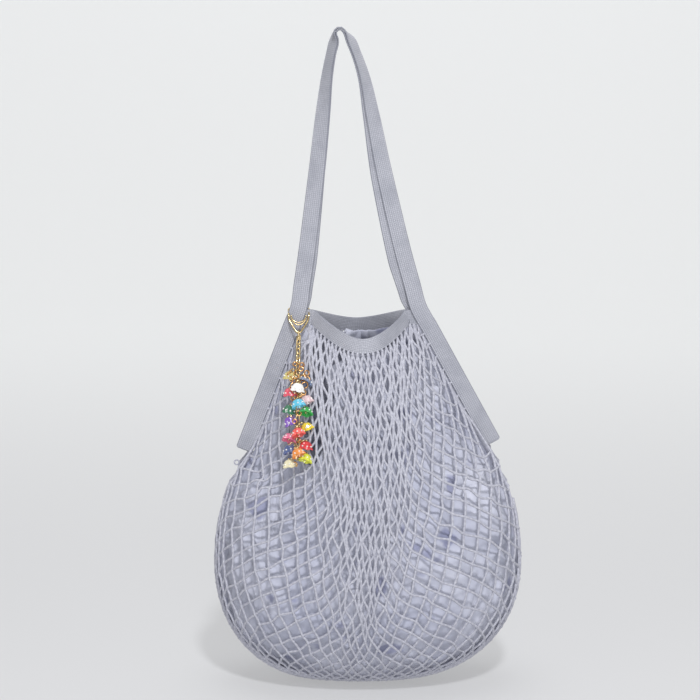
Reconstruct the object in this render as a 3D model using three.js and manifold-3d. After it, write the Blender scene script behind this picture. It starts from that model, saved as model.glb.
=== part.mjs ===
// A knitted string shopping bag that hangs by its shoulder strap, with a gold bead drop clipped to it.
// Millimetres, +Z up, +X to the right of the bag's front, the front faces -Y.
// The origin is the inside of the fold at the top of the strap, where the bag hangs.
// Heights below are measured up from the lowest point of the bag; the whole bag is lowered at the end.
import * as THREE from 'three';
import Module from 'manifold-3d';

// Handle tape
const strapTop = 690;
const tapeWidth = 17.6;
const tapeThickness = 1.8;
const foldRadius = 1.6;
const hangRadius = 3;
const twistAtTop = 66;

// The two corners of the mouth, where the strap parts into side bands
const cornerHeight = 402;
const leftCorner = -43;
const rightCorner = 82;

// The two side points, where the side bands end in a fold
const leftPoint = -102;
const leftPointHeight = 249;
const rightPoint = 162;
const rightPointHeight = 257;

// Mouth bands
const bandWidth = 16;
const bandThickness = 1.8;
const bandLean = 17;
const frontMouth = 40;
const backMouth = 38;
const bandDrop = 11;
const frontSag = 25;
const backSag = 13;
const tuckMargin = 4;
const joinRise = 33;

// Net sack
const bodyMiddle = 29.5;
const bodyWidth = 325;
const bodyDepth = 186;
const bellyHeight = 130;
const baseWidth = 64;
const baseMiddle = 19;
const netThickness = 2.6;
const netBar = 5;
const gatherDepth = 20;
const edgeGather = 12;
const pleatDepth = 1.5;
const columns = 6;
const halfRows = 10;
const slitHalfRows = 4;
const pleatsPerColumn = 3;

// Inner pouch
const pouchWall = 1.5;
const pouchDraw = 5;
const pouchSideDraw = 10;

// Gold clasp and chain
const claspWire = 2;
const claspFoot = 376;
const claspRise = 37;
const claspReach = 13;
const linkLength = 14.4;
const linkWidth = 5.8;
const linkWire = 1.5;
const linkCount = 13;
const linkPlay = 1;
const beadWidth = 12;
const beadHeight = 8.4;
const beadDepth = 8;

// Small clearance between pieces that touch
const seat = 0.3;

// How full the bag's curves are: 1 is an even curve, and more is flatter first and rounder later.
const fullness = {
  mouth: 1.25,
  sag: 1.15,
  belly: 2.15,
  flank: 2,
  front: 1.9,
  spread: 1.22,
  crownTop: 1.25,
  crownBelly: 0.92,
  drop: 1.3,
  link: 0.6,
};

// Shares of the net's rows: where its edge leaves the side band, and where its middle moves to the base.
const bandEndShare = 0.94;
const baseShare = 0.6;

// Where up the pouch's height its top is drawn in, and where its sides draw back from the side points.
const drawShares = { top: [0.7, 1], side: [0.42, 0.56] };

// How much of a mesh's half size a bar may take, and how far one link reaches into the next, in wires.
const widestBar = 0.6;
const linkNest = 1.8;

const halfTape = tapeWidth / 2;
const layered = seat / 2 + bandThickness + seat + tapeThickness / 2;
const layersClosed = seat / 2 + tapeThickness / 2;
const linkPitch = linkLength - linkNest * linkWire;
const chainReach = linkCount * linkPitch;
const cornerRow = slitHalfRows * bandEndShare;
const netEdge = halfTape + seat + netThickness / 2;
const { lerp, degToRad, smoothstep } = THREE.MathUtils;

// Where a leg of the strap runs between the top and a corner of the mouth: its place across as a share of
// the corner's place, its height as a share of the strap's rise, and how much of the twist is left.
const legTable = [
  { across: 0.13, rise: 0.957, twist: 1.0 },
  { across: 0.21, rise: 0.905, twist: 0.95 },
  { across: 0.29, rise: 0.84, twist: 0.86 },
  { across: 0.4, rise: 0.7, twist: 0.58 },
  { across: 0.53, rise: 0.52, twist: 0.34 },
  { across: 0.67, rise: 0.35, twist: 0.18 },
  { across: 0.82, rise: 0.18, twist: 0.06 },
  { across: 0.92, rise: 0.08, twist: 0.02 },
];

// Soft folds of the inner pouch: where each one lies across (-1 left to 1 right) and down (0 top to 1 base),
// how far it reaches, and how deep it is as a share of the body's depth.
const foldTable = [
  { side: -1, across: -0.55, down: 0.3, reach: 0.22, depth: 0.03 },
  { side: -1, across: 0.2, down: 0.18, reach: 0.2, depth: 0.035 },
  { side: -1, across: 0.62, down: 0.45, reach: 0.25, depth: 0.03 },
  { side: -1, across: -0.2, down: 0.62, reach: 0.2, depth: 0.02 },
  { side: 1, across: -0.3, down: 0.25, reach: 0.25, depth: 0.035 },
  { side: 1, across: 0.45, down: 0.5, reach: 0.25, depth: 0.03 },
];

// One side of the clasp from its top behind the strap to its foot in front: how wide it is as a share, how
// far down its length, and how far forward of the strap's middle plane as a share of its reach.
const claspTable = [
  { out: 0, down: 0, forward: -0.7 },
  { out: 0.62, down: 0.03, forward: -0.66 },
  { out: 1, down: 0.11, forward: -0.46 },
  { out: 1, down: 0.2, forward: 0 },
  { out: 1, down: 0.29, forward: 0.46 },
  { out: 0.76, down: 0.53, forward: 0.68 },
  { out: 0.46, down: 0.75, forward: 0.84 },
  { out: 0.3, down: 0.94, forward: 0.96 },
  { out: 0, down: 1, forward: 1 },
];

// Beads of the drop: which way each one sits off the chain, how far down it as a share, and its colour.
const beadTable = [
  { place: 'left', down: 0.343, colour: '#e0cf8f' },
  { place: 'right', down: 0.375, colour: '#8fa3c4' },
  { place: 'front', down: 0.434, colour: '#f4f1ee' },
  { place: 'left', down: 0.460, colour: '#d5526a' },
  { place: 'right', down: 0.511, colour: '#e9c3c6' },
  { place: 'front', down: 0.544, colour: '#7fc4d6' },
  { place: 'left', down: 0.576, colour: '#2f6b4a' },
  { place: 'right', down: 0.589, colour: '#4fae5b' },
  { place: 'left', down: 0.654, colour: '#8353b3' },
  { place: 'right', down: 0.699, colour: '#e7c93f' },
  { place: 'front', down: 0.738, colour: '#e2574c' },
  { place: 'left', down: 0.770, colour: '#e87c9b' },
  { place: 'right', down: 0.822, colour: '#d43c45' },
  { place: 'left', down: 0.848, colour: '#3c4f7c' },
  { place: 'right', down: 0.906, colour: '#c3d245' },
  { place: 'front', down: 0.874, colour: '#e98d4a' },
  { place: 'left', down: 0.945, colour: '#efe0bd' },
];

function material(name, colour, roughness, metalness = 0) {
  return new THREE.MeshStandardMaterial({ name, color: colour, roughness, metalness });
}

const knitted = material('lavender grey knit', '#a9abb8', 0.9);
const netYarn = material('lavender grey yarn', '#a3a6b5', 0.92);
const pouchCloth = material('lavender grey cloth', '#b4b7c9', 0.85);
const gold = material('gold plate', '#c9a356', 0.3, 1);

// A geometry from plain points and faces, turned so that its faces point out.
function solid(points, faces) {
  const geometry = new THREE.BufferGeometry();
  const flat = points.flatMap((p) => [p.x, p.y, p.z]);
  let volume = 0;
  for (const [a, b, c] of faces) {
    volume += points[a].dot(new THREE.Vector3().crossVectors(points[b], points[c]));
  }
  const turned = volume > 0 ? faces : faces.map(([a, b, c]) => [a, c, b]);
  geometry.setAttribute('position', new THREE.Float32BufferAttribute(flat, 3));
  geometry.setIndex(turned.flat());
  geometry.computeVertexNormals();
  return geometry;
}

// A band or wire swept along stations. Each station has its centre and two directions of its section.
function swept(stations, section, closed) {
  const points = [];
  const faces = [];
  const sides = section.length;
  for (const station of stations) {
    for (const corner of section) {
      const point = station.centre.clone();
      point.addScaledVector(station.across, corner.across);
      point.addScaledVector(station.out, corner.out);
      points.push(point);
    }
  }
  const spans = closed ? stations.length : stations.length - 1;
  for (let k = 0; k < spans; k += 1) {
    const here = k * sides;
    const next = ((k + 1) % stations.length) * sides;
    for (let n = 0; n < sides; n += 1) {
      const m = (n + 1) % sides;
      faces.push([here + n, next + n, next + m], [here + n, next + m, here + m]);
    }
  }
  if (!closed) {
    const last = (stations.length - 1) * sides;
    for (let n = 1; n < sides - 1; n += 1) {
      faces.push([0, n, n + 1], [last, last + n + 1, last + n]);
    }
  }
  return solid(points, faces);
}

// The flat section of a knitted band, with its two long edges rounded.
function bandSection(width, thickness) {
  const flat = 1 - thickness / width;
  const outline = [
    { across: -1, out: 0 },
    { across: -flat, out: -1 },
    { across: flat, out: -1 },
    { across: 1, out: 0 },
    { across: flat, out: 1 },
    { across: -flat, out: 1 },
  ];
  return outline.map((corner) => ({
    across: corner.across * width / 2,
    out: corner.out * thickness / 2,
  }));
}

function roundSection(diameter, sides) {
  return Array.from({ length: sides }, (_, n) => {
    const angle = 2 * Math.PI * n / sides;
    return { across: Math.cos(angle) * diameter / 2, out: Math.sin(angle) * diameter / 2 };
  });
}

// The point a given share of the way along a line of points, measured by length.
function alongLine(line, part) {
  const lengths = line.slice(1).map((point, k) => point.distanceTo(line[k]));
  let left = part * lengths.reduce((sum, length) => sum + length, 0);
  for (let k = 0; k < lengths.length; k += 1) {
    if (left <= lengths[k] || k === lengths.length - 1) {
      return line[k].clone().lerp(line[k + 1], left / lengths[k]);
    }
    left -= lengths[k];
  }
  return line.at(-1).clone();
}

// The value between low and high where a rising function reaches its goal.
function reach(low, high, goal, rising) {
  let [from, to] = [low, high];
  for (let step = 0; step < 40; step += 1) {
    const middle = (from + to) / 2;
    if (rising(middle) < goal) {
      from = middle;
    } else {
      to = middle;
    }
  }
  return (from + to) / 2;
}

// The two side bands, left (-1) and right (1): corner, side point and the directions along and inward.
function sideBand(hand) {
  const corner = new THREE.Vector3(hand < 0 ? leftCorner : rightCorner, 0, cornerHeight);
  const point = hand < 0
    ? new THREE.Vector3(leftPoint, 0, leftPointHeight)
    : new THREE.Vector3(rightPoint, 0, rightPointHeight);
  const along = point.clone().sub(corner).normalize();
  const inward = new THREE.Vector3(-hand * Math.abs(along.z), 0, -Math.abs(along.x));
  const foldStart = point.clone().addScaledVector(along, -foldRadius - tapeThickness / 2);
  return { corner, point, along, inward, foldStart, length: foldStart.distanceTo(corner) };
}

const bands = { left: sideBand(-1), right: sideBand(1) };

// How far a layer of the side band stands off the middle plane, by its share of the way down.
function bandApart(part) {
  return lerp(layered, foldRadius, smoothstep(part, 0.12, 1));
}

// One layer's stations from the left side point up over the top and down to the right side point.
function tapeStations() {
  const stations = [];
  const bandSteps = 6;
  const topSteps = 5;
  const station = (centre, along, twist, apart) => {
    const turn = degToRad(twistAtTop * twist);
    const away = new THREE.Vector3(-along.z, 0, along.x);
    const out = away.multiplyScalar(Math.sin(turn)).add(new THREE.Vector3(0, -Math.cos(turn), 0));
    stations.push({ centre, along, out, apart });
  };
  for (let k = 0; k <= bandSteps; k += 1) {
    const part = 1 - k / (bandSteps + 1);
    const centre = bands.left.corner.clone().lerp(bands.left.foldStart, part);
    station(centre, bands.left.along.clone().negate(), 0, bandApart(part));
  }
  const rise = strapTop - cornerHeight;
  const legPoint = (row, corner) => new THREE.Vector3(row.across * corner, 0, cornerHeight + row.rise * rise);
  const arch = strapTop - tapeThickness - layersClosed - hangRadius;
  const path = [bands.left.corner];
  for (const row of legTable.toReversed()) {
    path.push(legPoint(row, leftCorner));
  }
  const topFrom = path.length;
  for (let k = 0; k < topSteps; k += 1) {
    const angle = Math.PI * (1 - (k + 0.5) / topSteps);
    const radius = hangRadius + layersClosed + tapeThickness / 2;
    path.push(new THREE.Vector3(Math.cos(angle) * radius, 0, arch + Math.sin(angle) * radius));
  }
  const twists = [0, ...legTable.toReversed().map((row) => row.twist)];
  for (const row of legTable) {
    path.push(legPoint(row, rightCorner));
  }
  path.push(bands.right.corner);
  for (let k = 0; k < path.length; k += 1) {
    const before = k === 0 ? bands.left.foldStart : path[k - 1];
    const after = k === path.length - 1 ? bands.right.foldStart : path[k + 1];
    const along = after.clone().sub(before).normalize();
    const fromEnd = Math.min(k, path.length - 1 - k);
    const onTop = k >= topFrom && k < topFrom + topSteps;
    const twist = onTop ? 90 / twistAtTop : twists[fromEnd];
    const joined = smoothstep(path[k].z, cornerHeight, cornerHeight + joinRise);
    station(path[k], along, twist, lerp(layered, layersClosed, joined));
  }
  for (let k = 1; k <= bandSteps + 1; k += 1) {
    const part = k / (bandSteps + 1);
    const centre = bands.right.corner.clone().lerp(bands.right.foldStart, part);
    station(centre, bands.right.along.clone(), 0, bandApart(part));
  }
  return stations;
}

// The whole handle: front layer, fold at the right point, back layer, fold at the left point.
function handleTape() {
  const layer = tapeStations();
  const loop = [];
  const add = (row, side, bend) => {
    const out = row.out.clone().multiplyScalar(side);
    const centre = row.centre.clone().addScaledVector(out, row.apart);
    const across = new THREE.Vector3().crossVectors(row.along, row.out).normalize();
    if (bend) {
      out.multiplyScalar(Math.cos(bend.angle)).addScaledVector(bend.along, Math.sin(bend.angle));
      centre.copy(row.centre).addScaledVector(out, row.apart);
    }
    loop.push({ centre, across, out });
  };
  layer.forEach((row) => add(row, 1));
  const turns = [Math.PI / 4, Math.PI / 2, 3 * Math.PI / 4];
  turns.forEach((angle) => add(layer.at(-1), 1, { angle, along: bands.right.along }));
  layer.toReversed().forEach((row) => add(row, -1));
  turns.forEach((angle) => add(layer[0], -1, { angle, along: bands.left.along }));
  return swept(loop, bandSection(tapeWidth, tapeThickness), true);
}

// The middle of a mouth band at t, from -1 at the left corner to 1 at the right one. Its ends lie flat
// between the layers of the tape, and it swings out from there.
function bandMiddle(side, t) {
  const tuckedPart = 1 - (halfTape + tuckMargin) / ((rightCorner - leftCorner) / 2);
  const swing = Math.cos(Math.PI / 2 * Math.min(Math.abs(t) / tuckedPart, 1));
  const depth = side < 0 ? frontMouth : backMouth;
  const sag = side < 0 ? frontSag : backSag;
  const tucked = seat / 2 + bandThickness / 2;
  const lift = cornerHeight - bandDrop;
  return new THREE.Vector3(
    lerp(leftCorner, rightCorner, (t + 1) / 2),
    side * (tucked + (depth - tucked) * Math.max(swing, 0) ** fullness.mouth),
    lift - sag * Math.max(swing, 0) ** fullness.sag,
  );
}

// The direction that a mouth band runs in at t.
function bandRun(side, t) {
  const step = 0.01;
  return bandMiddle(side, Math.min(t + step, 1)).sub(bandMiddle(side, Math.max(t - step, -1))).normalize();
}

// The direction down the width of a mouth band at t: upright near its ends, leaning out in the middle.
function bandDown(side, t) {
  const swing = Math.max(Math.cos(Math.PI * t / 2), 0);
  const lean = degToRad(bandLean * smoothstep(swing, 0.35, 0.95));
  const run = bandRun(side, t);
  const down = new THREE.Vector3(0, side * Math.sin(lean), -Math.cos(lean));
  return down.addScaledVector(run, -down.dot(run)).normalize();
}

function mouthBand(side) {
  const stations = [];
  const steps = 20;
  for (let k = 0; k <= steps; k += 1) {
    const t = lerp(-1, 1, k / steps);
    const across = bandDown(side, t);
    const out = new THREE.Vector3().crossVectors(bandRun(side, t), across).normalize();
    stations.push({ centre: bandMiddle(side, t), across, out });
  }
  return swept(stations, bandSection(bandWidth, bandThickness), false);
}

// The lower edge of a mouth band, where the net starts.
function netTop(side, t) {
  return bandMiddle(side, t).addScaledVector(bandDown(side, t), bandWidth / 2 + seat + netThickness / 2);
}

// How far the net's edge lies down the side band where the mouth band's lower edge crosses it.
function bandCrossing(hand) {
  const band = hand < 0 ? bands.left : bands.right;
  const line = (t) => netTop(-1, t).sub(band.corner).dot(band.inward);
  const t = reach(0, 1, -netEdge, (part) => -line(hand * part));
  return { t: hand * t, down: netTop(-1, hand * t).sub(band.corner).dot(band.along) };
}

const crossings = { left: bandCrossing(-1), right: bandCrossing(1) };

// The round lower half of the body, as a share of its fullest width, by height.
function roundness(height) {
  const sunk = Math.min(Math.max(1 - height / bellyHeight, 0), 1);
  return (1 - sunk ** fullness.belly) ** (1 / fullness.belly);
}

const outlineSteps = 14;

// The left or right outline of the net below the side point, down to the end of the base.
function sideOutline(hand) {
  const band = hand < 0 ? bands.left : bands.right;
  const start = band.point.clone().addScaledVector(band.along, seat + netThickness / 2);
  const fullest = bodyMiddle + hand * bodyWidth / 2;
  const baseEnd = baseMiddle + hand * baseWidth / 2;
  const line = [start];
  for (let k = 1; k <= outlineSteps; k += 1) {
    const height = lerp(start.z, bellyHeight, k / outlineSteps);
    const up = (height - bellyHeight) / (start.z - bellyHeight);
    line.push(new THREE.Vector3(lerp(fullest, start.x, up ** fullness.flank), 0, height));
  }
  for (let k = 1; k <= outlineSteps; k += 1) {
    const height = bellyHeight * (1 - Math.sin(Math.PI / 2 * k / outlineSteps));
    line.push(new THREE.Vector3(lerp(baseEnd, fullest, roundness(height)), 0, height));
  }
  return line;
}

// The outline through the middle of the front or back, from the mouth band down to the base.
function middleOutline(side) {
  const start = netTop(side, 0);
  const line = [start];
  for (let k = 1; k <= outlineSteps; k += 1) {
    const height = lerp(start.z, bellyHeight, k / outlineSteps);
    const up = (height - bellyHeight) / (start.z - bellyHeight);
    const depth = lerp(side * bodyDepth / 2, start.y, up ** fullness.front);
    line.push(new THREE.Vector3(0, depth, height));
  }
  for (let k = 1; k <= outlineSteps; k += 1) {
    const height = bellyHeight * (1 - Math.sin(Math.PI / 2 * k / outlineSteps));
    line.push(new THREE.Vector3(0, side * bodyDepth / 2 * roundness(height), height));
  }
  return line;
}

const sideLines = { left: sideOutline(-1), right: sideOutline(1) };
const middleLines = { front: middleOutline(-1), back: middleOutline(1) };

function lineLength(line) {
  return line.slice(1).reduce((sum, point, k) => sum + point.distanceTo(line[k]), 0);
}

// The edge of the net at a half row: down the inner edge of the side band, round its end, then the outline.
function netSide(hand, side, row) {
  const band = hand < 0 ? bands.left : bands.right;
  const crossing = hand < 0 ? crossings.left : crossings.right;
  if (row > slitHalfRows) {
    const line = hand < 0 ? sideLines.left : sideLines.right;
    return alongLine(line, (row - slitHalfRows) / (halfRows - slitHalfRows));
  }
  const start = crossing.down + edgeGather;
  const end = band.point.clone().sub(band.corner).dot(band.along) + seat;
  const down = lerp(start, end, Math.min(row / cornerRow, 1));
  const edge = band.corner.clone().addScaledVector(band.along, down);
  edge.addScaledVector(band.inward, netEdge);
  edge.y = side * bandApart(Math.min(down / band.length, 1));
  const beneath = band.point.clone().addScaledVector(band.along, seat + netThickness / 2);
  return edge.lerp(beneath, Math.max(row - cornerRow, 0) / (slitHalfRows - cornerRow));
}

// A point of the net's middle surface: column 0 to columns from left to right, half row 0 to halfRows down.
function netPoint(side, column, row) {
  const t = 2 * column / columns - 1;
  const hand = t < 0 ? -1 : 1;
  const edge = netSide(hand, side, row);
  const line = side < 0 ? middleLines.front : middleLines.back;
  const gathered = gatherDepth / lineLength(line);
  const middle = alongLine(line, lerp(gathered, 1, row / halfRows));
  const mouthMiddle = (leftCorner + rightCorner) / 2;
  middle.x = lerp(mouthMiddle, bodyMiddle, smoothstep(row, 0, halfRows / 2));
  middle.x = lerp(middle.x, baseMiddle, smoothstep(row, halfRows * baseShare, halfRows));
  const spread = lerp(1, fullness.spread, smoothstep(row, 0, halfRows / 2));
  const turn = Math.PI / 2 * Math.abs(t) ** spread;
  const swing = Math.max(Math.cos(turn), 0);
  const crown = lerp(fullness.crownTop, fullness.crownBelly, smoothstep(row, 0, halfRows * baseShare));
  return new THREE.Vector3(
    lerp(middle.x, edge.x, Math.sin(turn)),
    lerp(edge.y, middle.y, swing ** crown),
    lerp(edge.z, middle.z, swing ** fullness.drop),
  );
}

// The pleated strip between the mouth band and the first row of the net.
function gatherPoint(side, column, down) {
  const t = 2 * column / columns - 1;
  const turn = Math.sin(Math.PI / 2 * t);
  const start = turn < 0 ? -crossings.left.t : crossings.right.t;
  const top = netTop(side, turn * start);
  const foot = netPoint(side, column, 0);
  const point = top.lerp(foot, down);
  const wave = Math.cos(2 * Math.PI * column * pleatsPerColumn);
  const fade = Math.min(1, columns * (1 - Math.abs(t)));
  point.y += side * pleatDepth * (1 - down) * (wave - 1) / 2 * fade;
  return point;
}

// A sheet is a set of named points and faces; a face lists its points anticlockwise from outside.
class Sheet {
  constructor(joinedRow) {
    this.joinedRow = joinedRow;
    this.names = new Map();
    this.points = [];
    this.faces = [];
  }

  add(name, point) {
    if (!this.names.has(name)) {
      this.names.set(name, this.points.length);
      this.points.push(point());
    }
    return this.names.get(name);
  }

  node(side, column, row) {
    const onSeam = (column === 0 || column === columns) && row >= this.joinedRow;
    const shared = onSeam || row === halfRows;
    return this.add(`${shared ? 0 : side} ${column} ${row}`, () => {
      const point = netPoint(side, column, row);
      point.y = shared ? 0 : point.y;
      return point;
    });
  }

  face(side, ...corners) {
    this.faces.push(side < 0 ? corners : corners.toReversed());
  }

  normals() {
    const normals = this.points.map(() => new THREE.Vector3());
    for (const [a, b, c] of this.faces) {
      const first = this.points[b].clone().sub(this.points[a]);
      const normal = first.cross(this.points[c].clone().sub(this.points[a]));
      [a, b, c].forEach((corner) => normals[corner].add(normal));
    }
    return normals.map((normal) => normal.normalize());
  }
}

// Every whole mesh of the net, with its corners and edge middles in order, and its centre.
function meshesOfNet(sheet) {
  const meshes = [];
  const between = (side, [c0, r0], [c1, r1]) => sheet.node(side, (c0 + c1) / 2, (r0 + r1) / 2);
  const mesh = (corners, sides, centreSide) => {
    const ring = [];
    for (let k = 0; k < 4; k += 1) {
      const next = (k + 1) % 4;
      const cornerSide = sides[k] === sides[(k + 3) % 4] ? sides[k] : centreSide;
      ring.push(sheet.node(cornerSide, ...corners[k]));
      ring.push(between(sides[k], corners[k], corners[next]));
    }
    const [column, row] = corners.reduce(([c, r], corner) => [c + corner[0] / 4, r + corner[1] / 4], [0, 0]);
    meshes.push({ ring, column, row, centreSide });
  };
  for (const side of [-1, 1]) {
    for (let row = 1; row < halfRows; row += 1) {
      const odd = row % 2;
      for (let k = odd ? 1 : 0; k < columns; k += 1) {
        const column = odd ? k : k + 0.5;
        const left = [column - 0.5, row];
        const right = [column + 0.5, row];
        const around = [[column, row - 1], left, [column, row + 1], right];
        mesh(side < 0 ? around : around.toReversed(), [side, side, side, side], side);
      }
    }
  }
  for (const column of [0, columns]) {
    const inner = column === 0 ? 0.5 : columns - 0.5;
    const [first, second] = column === 0 ? [1, -1] : [-1, 1];
    for (let row = slitHalfRows + 1; row < halfRows; row += 2) {
      const around = [[column, row - 1], [inner, row], [column, row + 1], [inner, row]];
      const ring = [
        sheet.node(first, ...around[0]),
        between(first, around[0], around[1]),
        sheet.node(first, ...around[1]),
        between(first, around[1], around[2]),
        sheet.node(first, ...around[2]),
        between(second, around[2], around[3]),
        sheet.node(second, ...around[3]),
        between(second, around[3], around[0]),
      ];
      meshes.push({ ring, column, row, centreSide: first });
    }
  }
  for (let column = 0; column < columns; column += 1) {
    const middle = [column + 0.5, halfRows - 1];
    const ends = [[column + 1, halfRows], [column, halfRows]];
    const ring = [
      sheet.node(1, ...middle),
      between(1, middle, ends[0]),
      sheet.node(1, ...ends[0]),
      between(-1, ends[0], middle),
      sheet.node(-1, ...middle),
      between(-1, middle, ends[1]),
      sheet.node(1, ...ends[1]),
      between(1, ends[1], middle),
    ];
    meshes.push({ ring, column: column + 0.5, row: halfRows, centreSide: -1 });
  }
  return meshes;
}

// The webs along the side bands, which are left whole, from the half row below the mouth to the side point.
function sideWebs(sheet, cornerColumn) {
  for (const side of [-1, 1]) {
    for (const column of [0, columns]) {
      const inner = column === 0 ? 0.5 : columns - 0.5;
      const turn = column === 0 ? side : -side;
      for (let row = 1; row < slitHalfRows; row += 2) {
        const tip = sheet.node(side, inner, row);
        const upper = sheet.node(side, (column + inner) / 2, row - 0.5);
        const lower = sheet.node(side, (column + inner) / 2, row + 0.5);
        const edge = [sheet.node(side, column, row - 1), sheet.node(side, column, row)];
        if (row === slitHalfRows - 1) {
          edge.push(cornerColumn(side, column));
        }
        edge.push(sheet.node(side, column, row + 1));
        sheet.face(turn, tip, upper, edge[0]);
        for (let k = 1; k < edge.length; k += 1) {
          sheet.face(turn, tip, edge[k - 1], edge[k]);
        }
        sheet.face(turn, tip, edge.at(-1), lower);
      }
    }
  }
}

// Gives a sheet its thickness. Inside is how far its middle lies inside the sheet's own points.
function thickened(points, normals, faces, thickness, inside) {
  const layer = (off) => points.map((point, k) => point.clone().addScaledVector(normals[k], off));
  const outer = layer(thickness / 2 - inside);
  const inner = layer(-thickness / 2 - inside);
  const count = points.length;
  const triangles = [];
  const edges = new Set();
  for (const [a, b, c] of faces) {
    triangles.push([a, b, c], [count + a, count + c, count + b]);
    edges.add(`${a} ${b}`).add(`${b} ${c}`).add(`${c} ${a}`);
  }
  for (const edge of edges) {
    const [a, b] = edge.split(' ').map(Number);
    if (!edges.has(`${b} ${a}`)) {
      triangles.push([b, a, count + a], [b, count + a, count + b]);
    }
  }
  return solid([...outer, ...inner], triangles);
}

// The corner of the net's edge beneath the inner end of a side band.
function bandEndCorner(sheet, side, column) {
  const hand = column === 0 ? -1 : 1;
  const shared = sheet.joinedRow < slitHalfRows;
  return sheet.add(`end ${shared ? 0 : side} ${column}`, () => {
    const point = netSide(hand, side, cornerRow);
    point.y = shared ? 0 : point.y;
    return point;
  });
}

function netBody() {
  const sheet = new Sheet(slitHalfRows);
  const meshes = meshesOfNet(sheet);
  sideWebs(sheet, (side, column) => bandEndCorner(sheet, side, column));
  const segments = pleatsPerColumn * 2;
  for (const side of [-1, 1]) {
    const strip = (step, down) => {
      const column = step / segments;
      if (down === 1) {
        return sheet.node(side, column, 0);
      }
      return sheet.add(`gather ${side} ${step} ${down}`, () => gatherPoint(side, column, down));
    };
    for (let step = 0; step < columns * segments; step += 1) {
      for (const [upper, lower] of [[0, 0.5], [0.5, 1]]) {
        const [a, b] = [strip(step, upper), strip(step + 1, upper)];
        const [c, d] = [strip(step + 1, lower), strip(step, lower)];
        sheet.face(side, a, d, c);
        sheet.face(side, a, c, b);
      }
    }
    for (let column = 0; column < columns; column += 1) {
      const tip = sheet.node(side, column + 0.5, 1);
      const left = sheet.node(side, column + 0.25, 0.5);
      const right = sheet.node(side, column + 0.75, 0.5);
      const first = sheet.node(side, column, 0);
      const last = sheet.node(side, column + 1, 0);
      sheet.face(side, first, left, strip(column * segments + 1, 1));
      for (let step = 1; step < segments / 2; step += 1) {
        const at = column * segments + step;
        sheet.face(side, strip(at, 1), left, strip(at + 1, 1));
      }
      for (let step = segments / 2; step < segments - 1; step += 1) {
        const at = column * segments + step;
        sheet.face(side, strip(at, 1), right, strip(at + 1, 1));
      }
      sheet.face(side, strip((column + 1) * segments - 1, 1), right, last);
      sheet.face(side, strip(column * segments + segments / 2, 1), left, tip);
      sheet.face(side, strip(column * segments + segments / 2, 1), tip, right);
    }
  }
  const whole = sheet.faces.length;
  const centres = meshes.map(({ column, row, centreSide }, k) => (
    sheet.add(`centre ${k}`, () => meshCentre(column, row, centreSide))
  ));
  meshes.forEach(({ ring }, k) => {
    ring.forEach((corner, n) => sheet.faces.push([corner, ring[(n + 1) % ring.length], centres[k]]));
  });
  const normals = sheet.normals();
  const faces = sheet.faces.slice(0, whole);
  meshes.forEach(({ ring }, k) => {
    const centre = sheet.points[centres[k]];
    const half = [0, 2, 4, 6].map((n) => sheet.points[ring[n]]);
    const wide = half[1].distanceTo(half[3]) / 2;
    const tall = half[0].distanceTo(half[2]) / 2;
    const bar = Math.min(netBar / 2 * Math.hypot(wide, tall) / (wide * tall), widestBar);
    const inner = ring.map((corner) => {
      normals.push(normals[corner].clone().lerp(normals[centres[k]], bar).normalize());
      sheet.points.push(sheet.points[corner].clone().lerp(centre, bar));
      return sheet.points.length - 1;
    });
    ring.forEach((corner, n) => {
      const m = (n + 1) % ring.length;
      faces.push([corner, ring[m], inner[m]], [corner, inner[m], inner[n]]);
    });
  });
  const used = [...new Set(faces.flat())];
  const place = new Map(used.map((corner, k) => [corner, k]));
  return thickened(
    used.map((corner) => sheet.points[corner]),
    used.map((corner) => normals[corner]),
    faces.map((face) => face.map((corner) => place.get(corner))),
    netThickness,
    0,
  );
}

function meshCentre(column, row, side) {
  const point = netPoint(side, column, row);
  const onSeam = column === 0 || column === columns || row === halfRows;
  point.y = onSeam ? 0 : point.y;
  return point;
}

// The pouch lies just inside the net, closed along the sides and base and open at the top.
function innerPouch() {
  const sheet = new Sheet(0);
  const meshes = meshesOfNet(sheet);
  sideWebs(sheet, (side, column) => bandEndCorner(sheet, side, column));
  for (const side of [-1, 1]) {
    for (let column = 0; column < columns; column += 1) {
      const top = [sheet.node(side, column, 0), sheet.node(side, column + 1, 0)];
      const tip = sheet.node(side, column + 0.5, 1);
      const left = sheet.node(side, column + 0.25, 0.5);
      const right = sheet.node(side, column + 0.75, 0.5);
      sheet.face(side, top[0], left, right);
      sheet.face(side, top[0], right, top[1]);
      sheet.face(side, left, tip, right);
    }
  }
  meshes.forEach(({ ring, column, row, centreSide }, k) => {
    const centre = sheet.add(`centre ${k}`, () => meshCentre(column, row, centreSide));
    ring.forEach((corner, n) => sheet.faces.push([corner, ring[(n + 1) % ring.length], centre]));
  });
  const normals = sheet.normals();
  const inside = netThickness / 2 + seat + pouchWall / 2;
  const top = sheet.points.map((point) => point.z).reduce((high, z) => Math.max(high, z), 0);
  sheet.points.forEach((point, k) => {
    const side = Math.sign(point.y);
    const across = (point.x - bodyMiddle) / (bodyWidth / 2);
    const up = point.z / top;
    let deep = pouchDraw * smoothstep(up, ...drawShares.top);
    deep += side === 0 ? pouchSideDraw * smoothstep(up, ...drawShares.side) : 0;
    for (const fold of foldTable) {
      const far = Math.hypot(across - fold.across, 1 - up - fold.down) / fold.reach;
      deep += fold.side === side ? fold.depth * bodyDepth * Math.exp(-far * far) : 0;
    }
    point.addScaledVector(normals[k], -deep);
  });
  return thickened(sheet.points, normals, sheet.faces, pouchWall, inside);
}

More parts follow.
